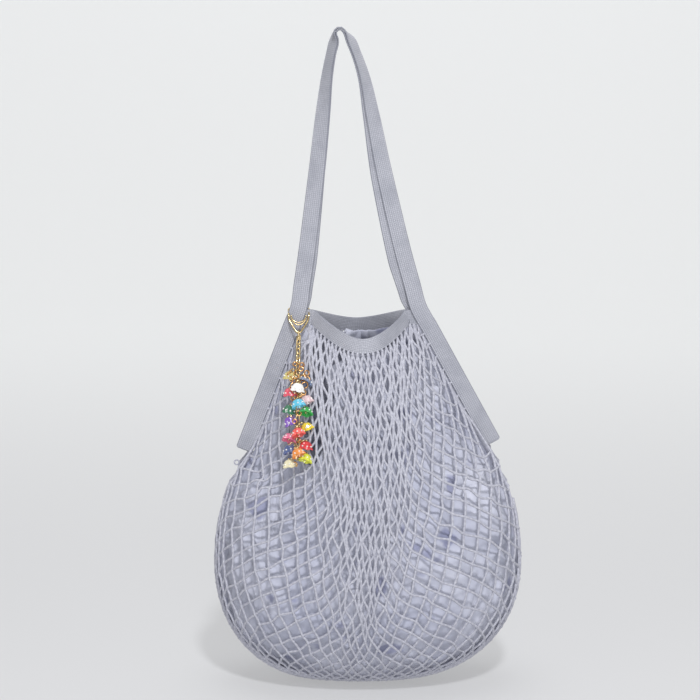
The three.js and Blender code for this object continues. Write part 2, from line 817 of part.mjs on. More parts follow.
// The gold clasp: a drop-shaped ring that passes behind the strap and comes down in front of it.
function claspPoint(row, hand) {
  const halfWidth = halfTape + 2 * seat + claspWire / 2;
  return new THREE.Vector3(
    leftCorner + hand * row.out * halfWidth,
    -claspReach * row.forward,
    claspFoot + claspRise * (1 - row.down),
  );
}

const claspEnd = claspPoint(claspTable.at(-1), 1);

function claspRing() {
  const right = claspTable.map((row) => claspPoint(row, 1));
  const left = claspTable.slice(1, -1).toReversed().map((row) => claspPoint(row, -1));
  const curve = new THREE.CatmullRomCurve3([...right, ...left], true);
  const normal = new THREE.Vector3(0, claspRise, -claspReach).normalize();
  const steps = 28;
  const stations = Array.from({ length: steps }, (_, k) => {
    const along = curve.getTangentAt(k / steps);
    const across = new THREE.Vector3().crossVectors(along, normal).normalize();
    const out = new THREE.Vector3().crossVectors(across, along).normalize();
    return { centre: curve.getPointAt(k / steps), across, out };
  });
  return swept(stations, roundSection(claspWire, 6), true);
}

// The depth of the net's front at a place across and a height.
function netFront(across, height) {
  const rowAt = (column) => reach(0, halfRows, -height, (row) => -netPoint(-1, column, row).z);
  const column = reach(0, columns, across, (part) => netPoint(-1, part, rowAt(part)).x);
  return netPoint(-1, column, rowAt(column)).y;
}

// The line that the chain hangs along: clear of the net's front by half a bead, also beside the chain.
function chainLine() {
  const clear = netThickness / 2 + seat + beadDepth / 2;
  const steps = 12;
  const line = [claspEnd];
  for (let k = 1; k <= steps; k += 1) {
    const height = claspEnd.z - chainReach * k / steps;
    const fronts = [-beadWidth / 2, 0, beadWidth].map((aside) => netFront(claspEnd.x + aside, height));
    const leaned = Math.min(...fronts) - clear;
    line.push(new THREE.Vector3(claspEnd.x, Math.min(leaned, claspEnd.y), height));
  }
  return line;
}

const chainPath = new THREE.CatmullRomCurve3(chainLine());
const chainLength = chainPath.getLength();

function chainFrame(down) {
  const part = Math.min(down / chainLength, 1);
  const along = chainPath.getTangentAt(part);
  const across = new THREE.Vector3(1, 0, 0);
  const out = new THREE.Vector3().crossVectors(along, across).normalize();
  return { centre: chainPath.getPointAt(part), along, across, out };
}

function chainLink(down, turn) {
  const frame = chainFrame(down);
  const flat = frame.across.clone().multiplyScalar(Math.cos(turn)).addScaledVector(frame.out, Math.sin(turn));
  const normal = new THREE.Vector3().crossVectors(flat, frame.along).normalize();
  const wide = (linkWidth - linkWire) / 2;
  const tall = (linkLength - linkWire) / 2;
  const steps = 8;
  const stations = Array.from({ length: steps }, (_, k) => {
    const angle = 2 * Math.PI * k / steps;
    const [x, y] = [Math.cos(angle), Math.sin(angle)];
    const straight = Math.abs(x) ** fullness.link * Math.sign(x);
    const centre = frame.centre.clone().addScaledVector(flat, straight * wide);
    centre.addScaledVector(frame.along, y * tall);
    const along = flat.clone().multiplyScalar(-y / wide).addScaledVector(frame.along, x / tall);
    const across = new THREE.Vector3().crossVectors(along, normal).normalize();
    return { centre, across, out: normal };
  });
  return swept(stations, roundSection(linkWire, 5), true);
}

const wasm = await Module();
wasm.setup();

function toManifold(geometry) {
  return new wasm.Manifold(new wasm.Mesh({
    numProp: 3,
    vertProperties: new Float32Array(geometry.getAttribute('position').array),
    triVerts: new Uint32Array(geometry.getIndex().array),
  }));
}

// The chain: links that touch where they pass through each other, fused there into one body.
function charmChain() {
  const first = linkLength / 2 - claspWire / 2 - linkWire - linkPlay;
  let chain = null;
  for (let k = 0; k < linkCount; k += 1) {
    const turn = k === 0 ? Math.PI / 2 : Math.PI / 4 + (k % 2) * Math.PI / 2;
    const link = toManifold(chainLink(first + k * linkPitch, turn));
    chain = chain ? chain.add(link) : link;
  }
  const mesh = chain.getMesh();
  const geometry = new THREE.BufferGeometry();
  geometry.setAttribute('position', new THREE.Float32BufferAttribute(mesh.vertProperties, 3));
  geometry.setIndex([...mesh.triVerts]);
  geometry.computeVertexNormals();
  return geometry;
}

// A bead: a low faceted drop, wider than it is tall.
function bead({ place, down }) {
  const frame = chainFrame(down * chainReach);
  const side = linkWidth / 2 * Math.SQRT1_2 + seat;
  const offset = {
    left: frame.across.clone().multiplyScalar(-side - beadWidth / 2),
    right: frame.across.clone().multiplyScalar(side + beadWidth / 2),
    front: frame.out.clone().multiplyScalar(side + beadDepth / 2),
  }[place];
  const geometry = new THREE.SphereGeometry(0.5, 8, 4);
  geometry.scale(beadWidth, beadDepth, beadHeight);
  geometry.translate(...frame.centre.add(offset));
  return geometry;
}

function piece(name, geometry, finish) {
  const mesh = new THREE.Mesh(geometry, finish);
  mesh.name = name;
  return mesh;
}

const bag = new THREE.Group();
bag.add(piece('handle_tape', handleTape(), knitted));
bag.add(piece('mouth_band_front', mouthBand(-1), knitted));
bag.add(piece('mouth_band_back', mouthBand(1), knitted));
bag.add(piece('net_body', netBody(), netYarn));
bag.add(piece('inner_pouch', innerPouch(), pouchCloth));
bag.add(piece('clasp_ring', claspRing(), gold));
bag.add(piece('charm_chain', charmChain(), gold));
beadTable.forEach((row, k) => {
  const name = `bead_${String(k + 1).padStart(2, '0')}`;
  bag.add(piece(name, bead(row), material(`${name} glass`, row.colour, 0.15)));
});
bag.position.z = -(strapTop - 2 * tapeThickness - seat);

const stringBag = new THREE.Group();
stringBag.add(bag);
export default stringBag;
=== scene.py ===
import math

import bmesh
import bpy
import numpy as np
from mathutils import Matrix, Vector, noise


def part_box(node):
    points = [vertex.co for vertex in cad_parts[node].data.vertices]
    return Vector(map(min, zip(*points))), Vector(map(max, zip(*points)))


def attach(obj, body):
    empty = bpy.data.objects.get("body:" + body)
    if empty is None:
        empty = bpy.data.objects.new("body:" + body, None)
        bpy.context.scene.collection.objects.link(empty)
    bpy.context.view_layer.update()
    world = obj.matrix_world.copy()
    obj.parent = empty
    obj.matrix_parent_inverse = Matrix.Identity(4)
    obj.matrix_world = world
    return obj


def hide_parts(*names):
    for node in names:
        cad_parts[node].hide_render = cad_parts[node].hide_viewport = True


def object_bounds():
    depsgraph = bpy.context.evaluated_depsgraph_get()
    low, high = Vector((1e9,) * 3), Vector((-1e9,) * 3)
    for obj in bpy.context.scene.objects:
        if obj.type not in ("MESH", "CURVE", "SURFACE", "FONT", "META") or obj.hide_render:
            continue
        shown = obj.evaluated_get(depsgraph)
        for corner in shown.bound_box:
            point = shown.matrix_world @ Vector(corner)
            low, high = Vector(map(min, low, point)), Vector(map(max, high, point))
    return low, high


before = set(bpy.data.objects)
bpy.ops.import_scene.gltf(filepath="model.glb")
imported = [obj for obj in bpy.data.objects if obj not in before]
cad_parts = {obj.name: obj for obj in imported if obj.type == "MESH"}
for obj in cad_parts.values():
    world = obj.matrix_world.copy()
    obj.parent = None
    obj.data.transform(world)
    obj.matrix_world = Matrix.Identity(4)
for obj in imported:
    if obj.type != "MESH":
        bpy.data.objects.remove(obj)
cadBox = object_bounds()

# The bag's sizes are in millimetres, with heights above its lowest point, as its solids have them.
tape = {
    "top": 690, "width": 17.6, "thickness": 1.8, "fold": 1.6, "hang": 3, "twist": 66,
    "ribs": 8, "grooves": 0.16, "step": 3.5, "endRound": 0.2,
    "legs": [(.13, .957, 1), (.21, .905, .95), (.29, .84, .86), (.4, .7, .58),     # across, rise, twist
             (.53, .52, .34), (.67, .35, .18), (.82, .18, .06), (.92, .08, .02)],
    "backShift": {-1: [(390, 0), (412, 2.5), (450, 3), (540, 0)],                  # height, shift inwards
                  1: [(385, 0), (412, 7), (450, 9), (540, 6), (600, 2.5), (660, 0)]},
}
mouth = {
    "height": 402, "left": -43, "right": 82, "width": 16, "thickness": 1.8, "lean": 17, "drop": 11,
    "depth": {-1: 40, 1: 38}, "sag": {-1: 25, 1: 13}, "tuck": 4, "join": 33, "ribs": 9,
    "skew": {-1: 0.07, 1: -0.04}, "round": {-1: 0.9, 1: 1.15},
}
sidePoints = {-1: (-102, 249), 1: (162, 257)}
sack = {
    "middle": 29.5, "width": 325, "depth": 186, "belly": 130, "baseWidth": 64, "baseMiddle": 19,
    "thickness": 2.6, "gather": 20, "edgeGather": 12, "columns": 6, "rows": 10, "slit": 4,
    # powers that set how round the sack is
    "sidePower": 2, "frontPower": 1.9, "basePower": 2.15, "spread": 1.22, "crown": (1.25, 0.92), "fall": 1.3,
}
seat = 0.3
halfTape, halfNet = tape["width"] / 2, sack["thickness"] / 2
layered = seat / 2 + mouth["thickness"] + seat + tape["thickness"] / 2
closedUp = seat / 2 + tape["thickness"] / 2
netEdge = halfTape + seat + halfNet
lift = tape["top"] - 2 * tape["thickness"] - seat
columns, rows, slit = sack["columns"], sack["rows"], sack["slit"]
cornerRow = slit * 0.94      # the row that meets the side points


def toFrame(points):
    return (np.asarray(points, float) - [0, 0, lift]) / 1000


def lerp(a, b, t):
    return a + (b - a) * t


def smooth(x, low, high):
    t = np.clip((np.asarray(x, float) - low) / (high - low), 0, 1)
    return t * t * (3 - 2 * t)


def unit(v):
    return v / np.maximum(np.linalg.norm(v, axis=-1, keepdims=True), 1e-9)


def dot(a, b):
    return (a * b).sum(-1, keepdims=True)


def smoothThrough(keys, values, at):
    # a smooth curve through values that stand at rising keys
    keys, values, at = (np.asarray(x, float) for x in (keys, values, at))
    slope = np.gradient(values, keys, axis=0)
    k = np.clip(np.searchsorted(keys, at, side="right") - 1, 0, len(keys) - 2)
    span = (keys[k + 1] - keys[k]).reshape(-1, *[1] * (values.ndim - 1))
    t = (at - keys[k]).reshape(span.shape) / span
    a, b, c, d = values[k], values[k + 1], slope[k] * span, slope[k + 1] * span
    return a + t * (c + t * (3 * (b - a) - 2 * c - d + t * (2 * (a - b) + c + d)))


def runOf(points):
    return np.concatenate([[0], np.linalg.norm(np.diff(points, axis=0), axis=1).cumsum()])


# pieces made from points
def placed(name, data):
    thing = bpy.data.objects.new(name, data)
    bpy.context.scene.collection.objects.link(thing)
    return thing


def meshPiece(name, points, faces, uv=None):
    mesh = bpy.data.meshes.new(name)
    mesh.from_pydata(toFrame(points).tolist(), [], faces)
    if uv is not None:
        layer = mesh.uv_layers.new(name="weave")
        layer.data.foreach_set("uv", np.asarray(uv, np.float32).ravel())
    mesh.polygons.foreach_set("use_smooth", [True] * len(mesh.polygons))
    mesh.update()
    return placed(name, mesh)


def finishPiece(piece, material, slot, *nodes):
    piece.data.materials.clear()
    piece.data.materials.append(material)
    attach(piece, "root")
    if nodes:
        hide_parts(*nodes)
    return piece


def applyModifiers(piece):
    # keeps the result of the piece's modifiers as a plain mesh
    graph = bpy.context.evaluated_depsgraph_get()
    graph.update()
    mesh = bpy.data.meshes.new_from_object(piece.evaluated_get(graph))
    piece.modifiers.clear()
    old, piece.data = piece.data, mesh
    mesh.name = piece.name
    bpy.data.meshes.remove(old)


def closeSeams(piece):
    work = bmesh.new()
    work.from_mesh(piece.data)
    bmesh.ops.remove_doubles(work, verts=work.verts, dist=0.00005)
    bmesh.ops.recalc_face_normals(work, faces=work.faces)
    work.to_mesh(piece.data)
    work.free()


def gridIndex(n, m):
    return (x.ravel() for x in np.meshgrid(np.arange(n), np.arange(m), indexing="ij"))


def gridFaces(n, m, closed=False, wrapped=True, turned=False):
    # faces between n rows of m points: closed joins the last row to the first, wrapped the ends of each row
    k, j = gridIndex(n if closed else n - 1, m if wrapped else m - 1)
    nextK, nextJ = (k + 1) % n, (j + 1) % m
    corners = [k * m + j, k * m + nextJ, nextK * m + nextJ, nextK * m + j]
    return np.stack(corners[:1] + corners[:0:-1] if turned else corners, 1).tolist()


def swept(centres, across, out, section, closed=False):
    # points, faces and weave coordinates of a section swept along stations
    n, m = len(centres), len(section)
    points = centres[:, None] + across[:, None] * section[None, :, :1] + out[:, None] * section[None, :, 1:]
    run = runOf(np.concatenate([centres, centres[:1]]) if closed else centres)
    around = runOf(np.concatenate([section, section[:1]]))
    k, j = gridIndex(len(run) - 1, m)
    uv = np.stack([run[np.array([k, k, k + 1, k + 1])], around[np.array([j, j + 1, j + 1, j])]], -1)
    uv, faces = uv.swapaxes(0, 1).reshape(-1, 2), gridFaces(n, m, closed)
    if not closed:
        faces += [list(range(m))[::-1], [(n - 1) * m + i for i in range(m)]]
        uv = np.concatenate([uv, np.zeros((2 * m, 2))])
    return points.reshape(-1, 3), faces, uv


def joined(parts):
    # several sets of points, faces and weave coordinates as one
    points, faces, uvs, first = [], [], [], 0
    for p, f, uv in parts:
        points.append(p)
        faces += [[first + i for i in face] for face in f]
        uvs.append(uv)
        first += len(p)
    return np.concatenate(points), faces, np.concatenate(uvs)


# materials
# dark is painted shade in the knit's grooves as well as its darker tone; edge is painted shade on the rolled
# edges; the blue-violet colour is painted shade in the cloth's deep folds; yarnDark is painted shade between
# the yarn's turns as well as its darker tone; the two cloth colours are partly painted light and shade over
# the crumples
cotton = {"light": "#b9bac3", "dark": "#81848f", "edge": "#666977", "foldShade": "#70749a",
          "yarnLight": "#c2c3cd", "yarnDark": "#9394a2", "clothLight": "#c4c6d3", "clothDark": "#adb0c1"}
matt = {"Roughness": 0.9, "Sheen_Weight": 0.2, "Sheen_Roughness": 0.5, "Specular_IOR_Level": 0.2}


def linear(colour):
    # a hex colour as linear red, green and blue, which a tuple has already
    if isinstance(colour, tuple):
        return colour
    channels = [int(colour[i:i + 2], 16) / 255 for i in (1, 3, 5)]
    return tuple(c / 12.92 if c <= 0.04045 else ((c + 0.055) / 1.055) ** 2.4 for c in channels)


def newMaterial(name, colour, **settings):
    # in a setting's name an underscore stands for a space
    material = bpy.data.materials.new(name)
    material.use_nodes = True
    shader = material.node_tree.nodes["Principled BSDF"]
    for key, value in {"Base_Color": (*linear(colour), 1), **settings}.items():
        shader.inputs[key.replace("_", " ")].default_value = value
    return material, material.node_tree, shader


def addNode(tree, kind, inputs=(), **settings):
    node = tree.nodes.new(kind)
    for key, value in settings.items():
        setattr(node, key, value)
    for key, value in dict(inputs).items():
        if hasattr(value, "links"):
            tree.links.new(value, node.inputs[key])
        else:
            node.inputs[key].default_value = value
    return node


def mathNode(tree, operation, first, second=0.0):
    return addNode(tree, "ShaderNodeMath", {0: first, 1: second}, operation=operation).outputs[0]


def ranged(tree, value, given=(0, 1), wanted=(0, 1), kind="LINEAR"):
    # spreads the given range of a value over the wanted one
    ends = dict(zip(("From Min", "From Max", "To Min", "To Max"), (*given, *wanted)))
    node = addNode(tree, "ShaderNodeMapRange", {"Value": value, **ends}, interpolation_type=kind)
    return node.outputs["Result"]


def noiseOn(tree, scale, detail):
    place = addNode(tree, "ShaderNodeTexCoord").outputs["Object"]
    node = addNode(tree, "ShaderNodeTexNoise", {"Vector": place, "Scale": scale, "Detail": detail})
    return node.outputs["Fac"]


def blendColours(tree, factor, first, second):
    node = addNode(tree, "ShaderNodeMix", {"Factor": factor}, data_type="RGBA")
    for key, value in (("A", first), ("B", second)):
        socket = [s for s in node.inputs if s.name == key and s.type == "RGBA"][0]
        if hasattr(value, "links"):
            tree.links.new(value, socket)
        else:
            socket.default_value = (*linear(value), 1)
    return [s for s in node.outputs if s.type == "RGBA"][0]


def dressed(material, shader, colour, height, strength, distance):
    # links the pattern's colour and its bump to the shader
    tree = material.node_tree
    bump = addNode(tree, "ShaderNodeBump", {"Height": height, "Strength": strength, "Distance": distance})
    tree.links.new(colour, shader.inputs["Base Color"])
    tree.links.new(bump.outputs["Normal"], shader.inputs["Normal"])
    return material


def bandSection(width, thickness, ribs, grooves, perRib=5):
    # a knitted band's section: lengthwise ribs on both faces and slightly rolled edges
    s = np.linspace(-1, 1, ribs * perRib + 1)
    flat = np.sin(s * math.pi / 2 * 0.96) / math.sin(math.pi / 2 * 0.96)
    edge = np.sqrt(np.clip(1 - np.abs(flat) ** 7, 0, 1))
    rib = 1 - grooves * (0.5 + 0.5 * np.cos(2 * math.pi * ribs * (flat + 1) / 2))
    roll = 1 + 0.3 * np.exp(-((np.abs(flat) - 0.9) / 0.08) ** 2)
    high = thickness / 2 * edge * rib * roll
    top = np.stack([flat * width / 2, -high], 1)
    return np.concatenate([top, (top * [1, -1])[::-1][1:-1]])


def knitMaterial(name, width, thickness, ribs):
    # ribs run along the band, with slanted stitches across each rib; painted shade darkens the grooves, the
    # gaps between stitches and the rolled edges
    material, tree, shader = newMaterial(name, cotton["light"], **matt)
    weave = addNode(tree, "ShaderNodeUVMap", uv_map="weave").outputs["UV"]
    apart = addNode(tree, "ShaderNodeSeparateXYZ", {"Vector": weave}).outputs
    section = bandSection(width, thickness, ribs, tape["grooves"])
    face, rim = runOf(np.concatenate([section, section[:1]]))[-1] / 2, thickness / 2
    over = mathNode(tree, "MODULO", apart["Y"], face)
    rib = mathNode(tree, "MULTIPLY", mathNode(tree, "SUBTRACT", over, rim), ribs / (face - 2 * rim))
    fromMiddle = mathNode(tree, "ABSOLUTE", mathNode(tree, "SUBTRACT", mathNode(tree, "FRACT", rib), 0.5))
    slanted = mathNode(tree, "ADD", mathNode(tree, "MULTIPLY", apart["X"], 0.5), fromMiddle)
    stitch = mathNode(tree, "SINE", mathNode(tree, "MULTIPLY", slanted, 2 * math.pi))
    groove = ranged(tree, fromMiddle, (0.28, 0.5), (1, 0.2), "SMOOTHSTEP")
    height = mathNode(tree, "MULTIPLY", ranged(tree, stitch, (-1, 1), (0.45, 1)), groove)
    fuzz = ranged(tree, noiseOn(tree, 700, 3), (0.3, 0.7), (0.75, 1.15))
    patches = ranged(tree, noiseOn(tree, 45, 2), (0.45, 0.75), (0, 0.4))
    share = mathNode(tree, "DIVIDE", over, face)
    toEdge = mathNode(tree, "ABSOLUTE", mathNode(tree, "SUBTRACT", share, 0.5))
    # painted shade: the colour darkens where the bump is low, in the grooves and between the stitches
    colour = blendColours(tree, mathNode(tree, "MULTIPLY", height, fuzz), cotton["dark"], cotton["light"])
    # random patches of darker tone
    colour = blendColours(tree, patches, colour, cotton["dark"])
    # painted shade along the rolled edges of the band
    colour = blendColours(tree, ranged(tree, toEdge, (0.42, 0.5), (0, 0.55)), colour, cotton["edge"])
    return dressed(material, shader, colour, height, 0.6, 0.0005)


def yarnMaterial():
    # fibres, and painted light and shade in turns along each yarn where its plies twist
    material, tree, shader = newMaterial("net_yarn", cotton["yarnLight"], **matt)
    fibres = noiseOn(tree, 900, 3)
    run = addNode(tree, "ShaderNodeAttribute", attribute_name="yarnRun").outputs["Fac"]
    # painted shade and light: each turn of the twist goes darker, then lighter
    twistShading = ranged(tree, mathNode(tree, "SINE", mathNode(tree, "MULTIPLY", run, 3.4)), (-1, 1), (0.6, 1))
    tone = mathNode(tree, "MULTIPLY", twistShading, ranged(tree, fibres, (0.3, 0.65), (0.3, 1)))
    patches = ranged(tree, noiseOn(tree, 60, 3), (0.45, 0.75), (0, 0.35))
    colour = blendColours(tree, tone, cotton["yarnDark"], cotton["yarnLight"])
    colour = blendColours(tree, patches, colour, cotton["yarnDark"])
    return dressed(material, shader, colour, fibres, 0.4, 0.0002)


def clothMaterial():
    # thin cotton with a faint painted glow in its darker colour, which lifts its shade
    # painted light: the cloth gives off a little light of its own
    material, tree, shader = newMaterial(
        "pouch_cotton", cotton["clothLight"], Roughness=0.85, Sheen_Weight=0.2, Sheen_Roughness=0.4,
        Specular_IOR_Level=0.3, Emission_Color=(*linear(cotton["clothDark"]), 1), Emission_Strength=0.03)
    # patches of painted light and shade, spread at random over the cloth in place of lit and shaded crumples
    patches = ranged(tree, noiseOn(tree, 14, 4), (0.35, 0.7))
    # painted shade: a few dark blue-violet spots stand for deep folds in the cloth
    foldShades = ranged(tree, noiseOn(tree, 34, 1), (0.64, 0.7), (0, 0.6))
    colour = blendColours(tree, patches, cotton["clothLight"], cotton["clothDark"])
    colour = blendColours(tree, foldShades, colour, cotton["foldShade"])
    return dressed(material, shader, colour, noiseOn(tree, 900, 2), 0.25, 0.0003)


def cloudedMaterial(name, colour, other, scale, detail, rough, **settings):
    # a polished material whose colour and roughness vary a little
    material, tree, shader = newMaterial(name, colour, **settings)
    cloud = noiseOn(tree, scale, detail)
    tree.links.new(blendColours(tree, cloud, colour, other), shader.inputs["Base Color"])
    tree.links.new(ranged(tree, cloud, wanted=rough), shader.inputs["Roughness"])
    return material


def goldMaterial(name, light, dark):
    return cloudedMaterial(name, light, dark, 400, 3, (0.14, 0.3), Roughness=0.22, Metallic=1.0)


def beadMaterial(name, colour, clear):
    pale = tuple(min(1, c * 1.25 + 0.06) for c in linear(colour))
    return cloudedMaterial(name, colour, pale, 260, 2, (0.05, 0.2), Roughness=0.1, Transmission_Weight=clear,
                           IOR=1.5, Coat_Weight=0.6, Coat_Roughness=0.05)


yarn, cloth = yarnMaterial(), clothMaterial()
knit = knitMaterial("knit_tape", tape["width"], tape["thickness"], tape["ribs"])
bandKnit = knitMaterial("knit_band", mouth["width"], mouth["thickness"], mouth["ribs"])
gold = goldMaterial("gold_plate", "#eadbb4", "#c2a468")
ringGold = goldMaterial("ring_gold", "#f0c48c", "#c08650")


# the handle tape and the mouth bands
def sideBand(hand):
    corner = np.array([mouth["left"] if hand < 0 else mouth["right"], 0, mouth["height"]], float)
    point = np.array([sidePoints[hand][0], 0, sidePoints[hand][1]], float)
    down = unit(point - corner)
    foldStart = point - down * (tape["fold"] + tape["thickness"] / 2)
    return {"corner": corner, "point": point, "along": down, "foldStart": foldStart,
            "inward": np.array([-hand * abs(down[2]), 0, -abs(down[0])]),
            "length": np.linalg.norm(foldStart - corner)}


bands = {hand: sideBand(hand) for hand in (-1, 1)}


def bandApart(part):
    return lerp(layered, tape["fold"], smooth(part, 0.12, 1))


def tapeLayer():
    # stations of one layer from the left side point over the top to the right side point
    rise = tape["top"] - mouth["height"]
    legs = {hand: [np.array([row[0] * corner, 0, mouth["height"] + row[1] * rise]) for row in tape["legs"]]
            for hand, corner in ((-1, mouth["left"]), (1, mouth["right"]))}
    radius = tape["hang"] + closedUp + tape["thickness"] / 2
    arch = tape["top"] - tape["thickness"] - closedUp - tape["hang"]
    angles = math.pi * (1 - (np.arange(5) + 0.5) / 5)
    top = [np.array([math.cos(a) * radius, 0, arch + math.sin(a) * radius]) for a in angles]
    middle = [bands[-1]["corner"], *legs[-1][::-1], *top, *legs[1], bands[1]["corner"]]
    joins = smooth([p[2] for p in middle], mouth["height"], mouth["height"] + mouth["join"])
    turn = [0, *[row[2] for row in tape["legs"]][::-1]]
    # the side bands, from each corner of the mouth down to the fold
    shares = np.arange(1, 8) / 7
    down = {hand: [lerp(band["corner"], band["foldStart"], k) for k in shares]
            for hand, band in bands.items()}
    opened = [bandApart(k) for k in shares]
    path = np.array(down[-1][::-1] + middle + down[1])
    twists = [0] * 7 + turn + [90 / tape["twist"]] * 5 + turn[::-1] + [0] * 7
    apart = opened[::-1] + list(lerp(layered, closedUp, joins)) + opened
    keys = runOf(path)
    at = np.linspace(0, keys[-1], int(keys[-1] / tape["step"]) + 1)
    centres, gaps = smoothThrough(keys, path, at), smoothThrough(keys, apart, at)
    turned = np.radians(tape["twist"] * smoothThrough(keys, twists, at))
    run = unit(np.gradient(centres, axis=0))
    away = np.stack([-run[:, 2], 0 * turned, run[:, 0]], 1)
    out = away * np.sin(turned)[:, None] - np.array([0, 1, 0]) * np.cos(turned)[:, None]
    return centres, run, out, gaps


def tapeLoop():
    centres, run, out, gaps = tapeLayer()
    across = unit(np.cross(run, out))
    shift = np.zeros(len(centres))
    half = len(centres) // 2
    for hand, part in ((-1, slice(None, half)), (1, slice(half, None))):
        heights, moves = np.array(tape["backShift"][hand], float).T
        shift[part] = -hand * np.interp(centres[part, 2], heights, moves, left=0, right=0)
    inward = across * np.sign(across[:, :1])
    front = centres + out * gaps[:, None]
    back = centres - out * gaps[:, None] + inward * shift[:, None]
    stations = [(front, across, out)]
    bends = np.linspace(0, math.pi, 9)[1:-1]
    for end, hand, side in ((-1, 1, 1), (0, -1, -1)):
        down = bands[hand]["along"]
        turned = np.array([out[end] * side * math.cos(a) + down * math.sin(a) for a in bends])
        narrow = across[end] * (1 - tape["endRound"] * np.sin(bends)[:, None] ** 2)
        stations.append((centres[end] + turned * gaps[end], narrow, turned))
        if hand > 0:
            stations.append((back[::-1], across[::-1], -out[::-1]))
    return [np.concatenate(rows) for rows in zip(*stations)]


def makeTape():
    centres, across, out = tapeLoop()
    section = bandSection(tape["width"], tape["thickness"], tape["ribs"], tape["grooves"])
    piece = meshPiece("shoulder_tape", *swept(centres, across, out, section, closed=True))
    return finishPiece(piece, knit, "knit_tape", "handle_tape")


def bandMiddle(side, t):
    t = np.asarray(t, float)
    tucked = 1 - (halfTape + mouth["tuck"]) / ((mouth["right"] - mouth["left"]) / 2)
    swing = np.cos(math.pi / 2 * np.minimum(abs(t - mouth["skew"][side] * (1 - t * t)) / tucked, 1)).clip(0)
    flat = seat / 2 + mouth["thickness"] / 2
    low = mouth["drop"] + mouth["sag"][side] * swing ** mouth["round"][side]
    return np.stack([lerp(mouth["left"], mouth["right"], (t + 1) / 2),
                     side * (flat + (mouth["depth"][side] - flat) * swing ** 1.25),
                     mouth["height"] - low], -1)


def bandRun(side, t):
    return unit(bandMiddle(side, np.minimum(t + 0.01, 1)) - bandMiddle(side, np.maximum(t - 0.01, -1)))


def bandDown(side, t):
    t = np.asarray(t, float)
    swing = np.cos(math.pi * t / 2).clip(0)
    lean = np.radians(mouth["lean"] * smooth(swing, 0.35, 0.95))
    run = bandRun(side, t)
    down = np.stack([0 * t, side * np.sin(lean), -np.cos(lean)], -1)
    return unit(down - run * dot(down, run))


def makeMouthBand(side):
    t = np.linspace(-1, 1, 90)
    across = bandDown(side, t)
    out = unit(np.cross(bandRun(side, t), across))
    section = bandSection(mouth["width"], mouth["thickness"], mouth["ribs"], tape["grooves"])
    name = "front" if side < 0 else "back"
    piece = meshPiece(f"mouth_{name}", *swept(bandMiddle(side, t), across, out, section))
    return finishPiece(piece, bandKnit, "knit_tape", f"mouth_band_{name}")


print("tape and bands")
makeTape()
for side in (-1, 1):
    makeMouthBand(side)


# the surface that the net lies on
def netTop(side, t):
    return bandMiddle(side, t) + bandDown(side, t) * (mouth["width"] / 2 + seat + halfNet)


def bandCrossing(hand):
    # where the net's top meets a side band: along the mouth band, and down the side band
    band = bands[hand]
    t = np.linspace(0, 1, 4001)
    off = -((netTop(-1, hand * t) - band["corner"]) @ band["inward"])
    at = hand * t[np.argmax(off > -netEdge)]
    return at, (netTop(-1, at) - band["corner"]) @ band["along"]


crossings = {hand: bandCrossing(hand) for hand in (-1, 1)}


def outlineDown(start, fullest, baseEnd, power, steps=40):
    k = np.arange(steps + 1) / steps
    high = lerp(start[1], sack["belly"], k)
    up = (high - sack["belly"]) / (start[1] - sack["belly"])
    upper = np.stack([lerp(fullest, start[0], up ** power), high], -1)
    low = sack["belly"] * (1 - np.sin(math.pi / 2 * k[1:]))
    full = (1 - (1 - low / sack["belly"]).clip(0, 1) ** sack["basePower"]) ** (1 / sack["basePower"])
    return np.concatenate([upper, np.stack([lerp(baseEnd, fullest, full), low], -1)])


def sideLine(hand):
    start = bands[hand]["point"] + bands[hand]["along"] * (seat + halfNet)
    return outlineDown((start[0], start[2]), sack["middle"] + hand * sack["width"] / 2,
                       sack["baseMiddle"] + hand * sack["baseWidth"] / 2, sack["sidePower"])


def middleLine(side):
    start = netTop(side, 0)
    return outlineDown((start[1], start[2]), side * sack["depth"] / 2, 0.0, sack["frontPower"])


def alongLine(line, part):
    run = runOf(line)
    return np.stack([np.interp(part, run / run[-1], line[:, n]) for n in range(line.shape[1])], -1)


sideLines = {hand: sideLine(hand) for hand in (-1, 1)}
middleLines = {side: middleLine(side) for side in (-1, 1)}


def netSide(hand, side, row):
    band = bands[hand]
    low = alongLine(sideLines[hand], np.clip((row - slit) / (rows - slit), 0, 1))
    below = np.stack([low[..., 0], 0 * row, low[..., 1]], -1)
    start = crossings[hand][1] + sack["edgeGather"]
    end = (band["point"] - band["corner"]) @ band["along"] + seat
    down = lerp(start, end, np.minimum(row / cornerRow, 1))
    edge = band["corner"] + band["along"] * down[..., None] + band["inward"] * netEdge
    edge[..., 1] = side * bandApart(np.minimum(down / band["length"], 1))
    beneath = band["point"] + band["along"] * (seat + halfNet)
    tip = np.clip((row - cornerRow) / (slit - cornerRow), 0, 1)[..., None]
    return np.where((row > slit)[..., None], below, lerp(edge, beneath, tip))


def netPoint(side, column, row):
    column, row = np.broadcast_arrays(np.asarray(column, float), np.asarray(row, float))
    t = 2 * column / columns - 1
    edge = np.where((t < 0)[..., None], netSide(-1, side, row), netSide(1, side, row))
    line = middleLines[side]
    down = alongLine(line, lerp(sack["gather"] / runOf(line)[-1], 1, row / rows))
    middleX = lerp((mouth["left"] + mouth["right"]) / 2, sack["middle"], smooth(row, 0, rows / 2))
    middleX = lerp(middleX, sack["baseMiddle"], smooth(row, rows * 0.6, rows))
    turn = math.pi / 2 * abs(t) ** lerp(1, sack["spread"], smooth(row, 0, rows / 2))
    swing = np.cos(turn).clip(0)
    crown = lerp(*sack["crown"], smooth(row, 0, rows * 0.6))
    return np.stack([lerp(middleX, edge[..., 0], np.sin(turn)),
                     lerp(edge[..., 1], down[..., 0], swing ** crown),
                     lerp(edge[..., 2], down[..., 1], swing ** sack["fall"])], -1)


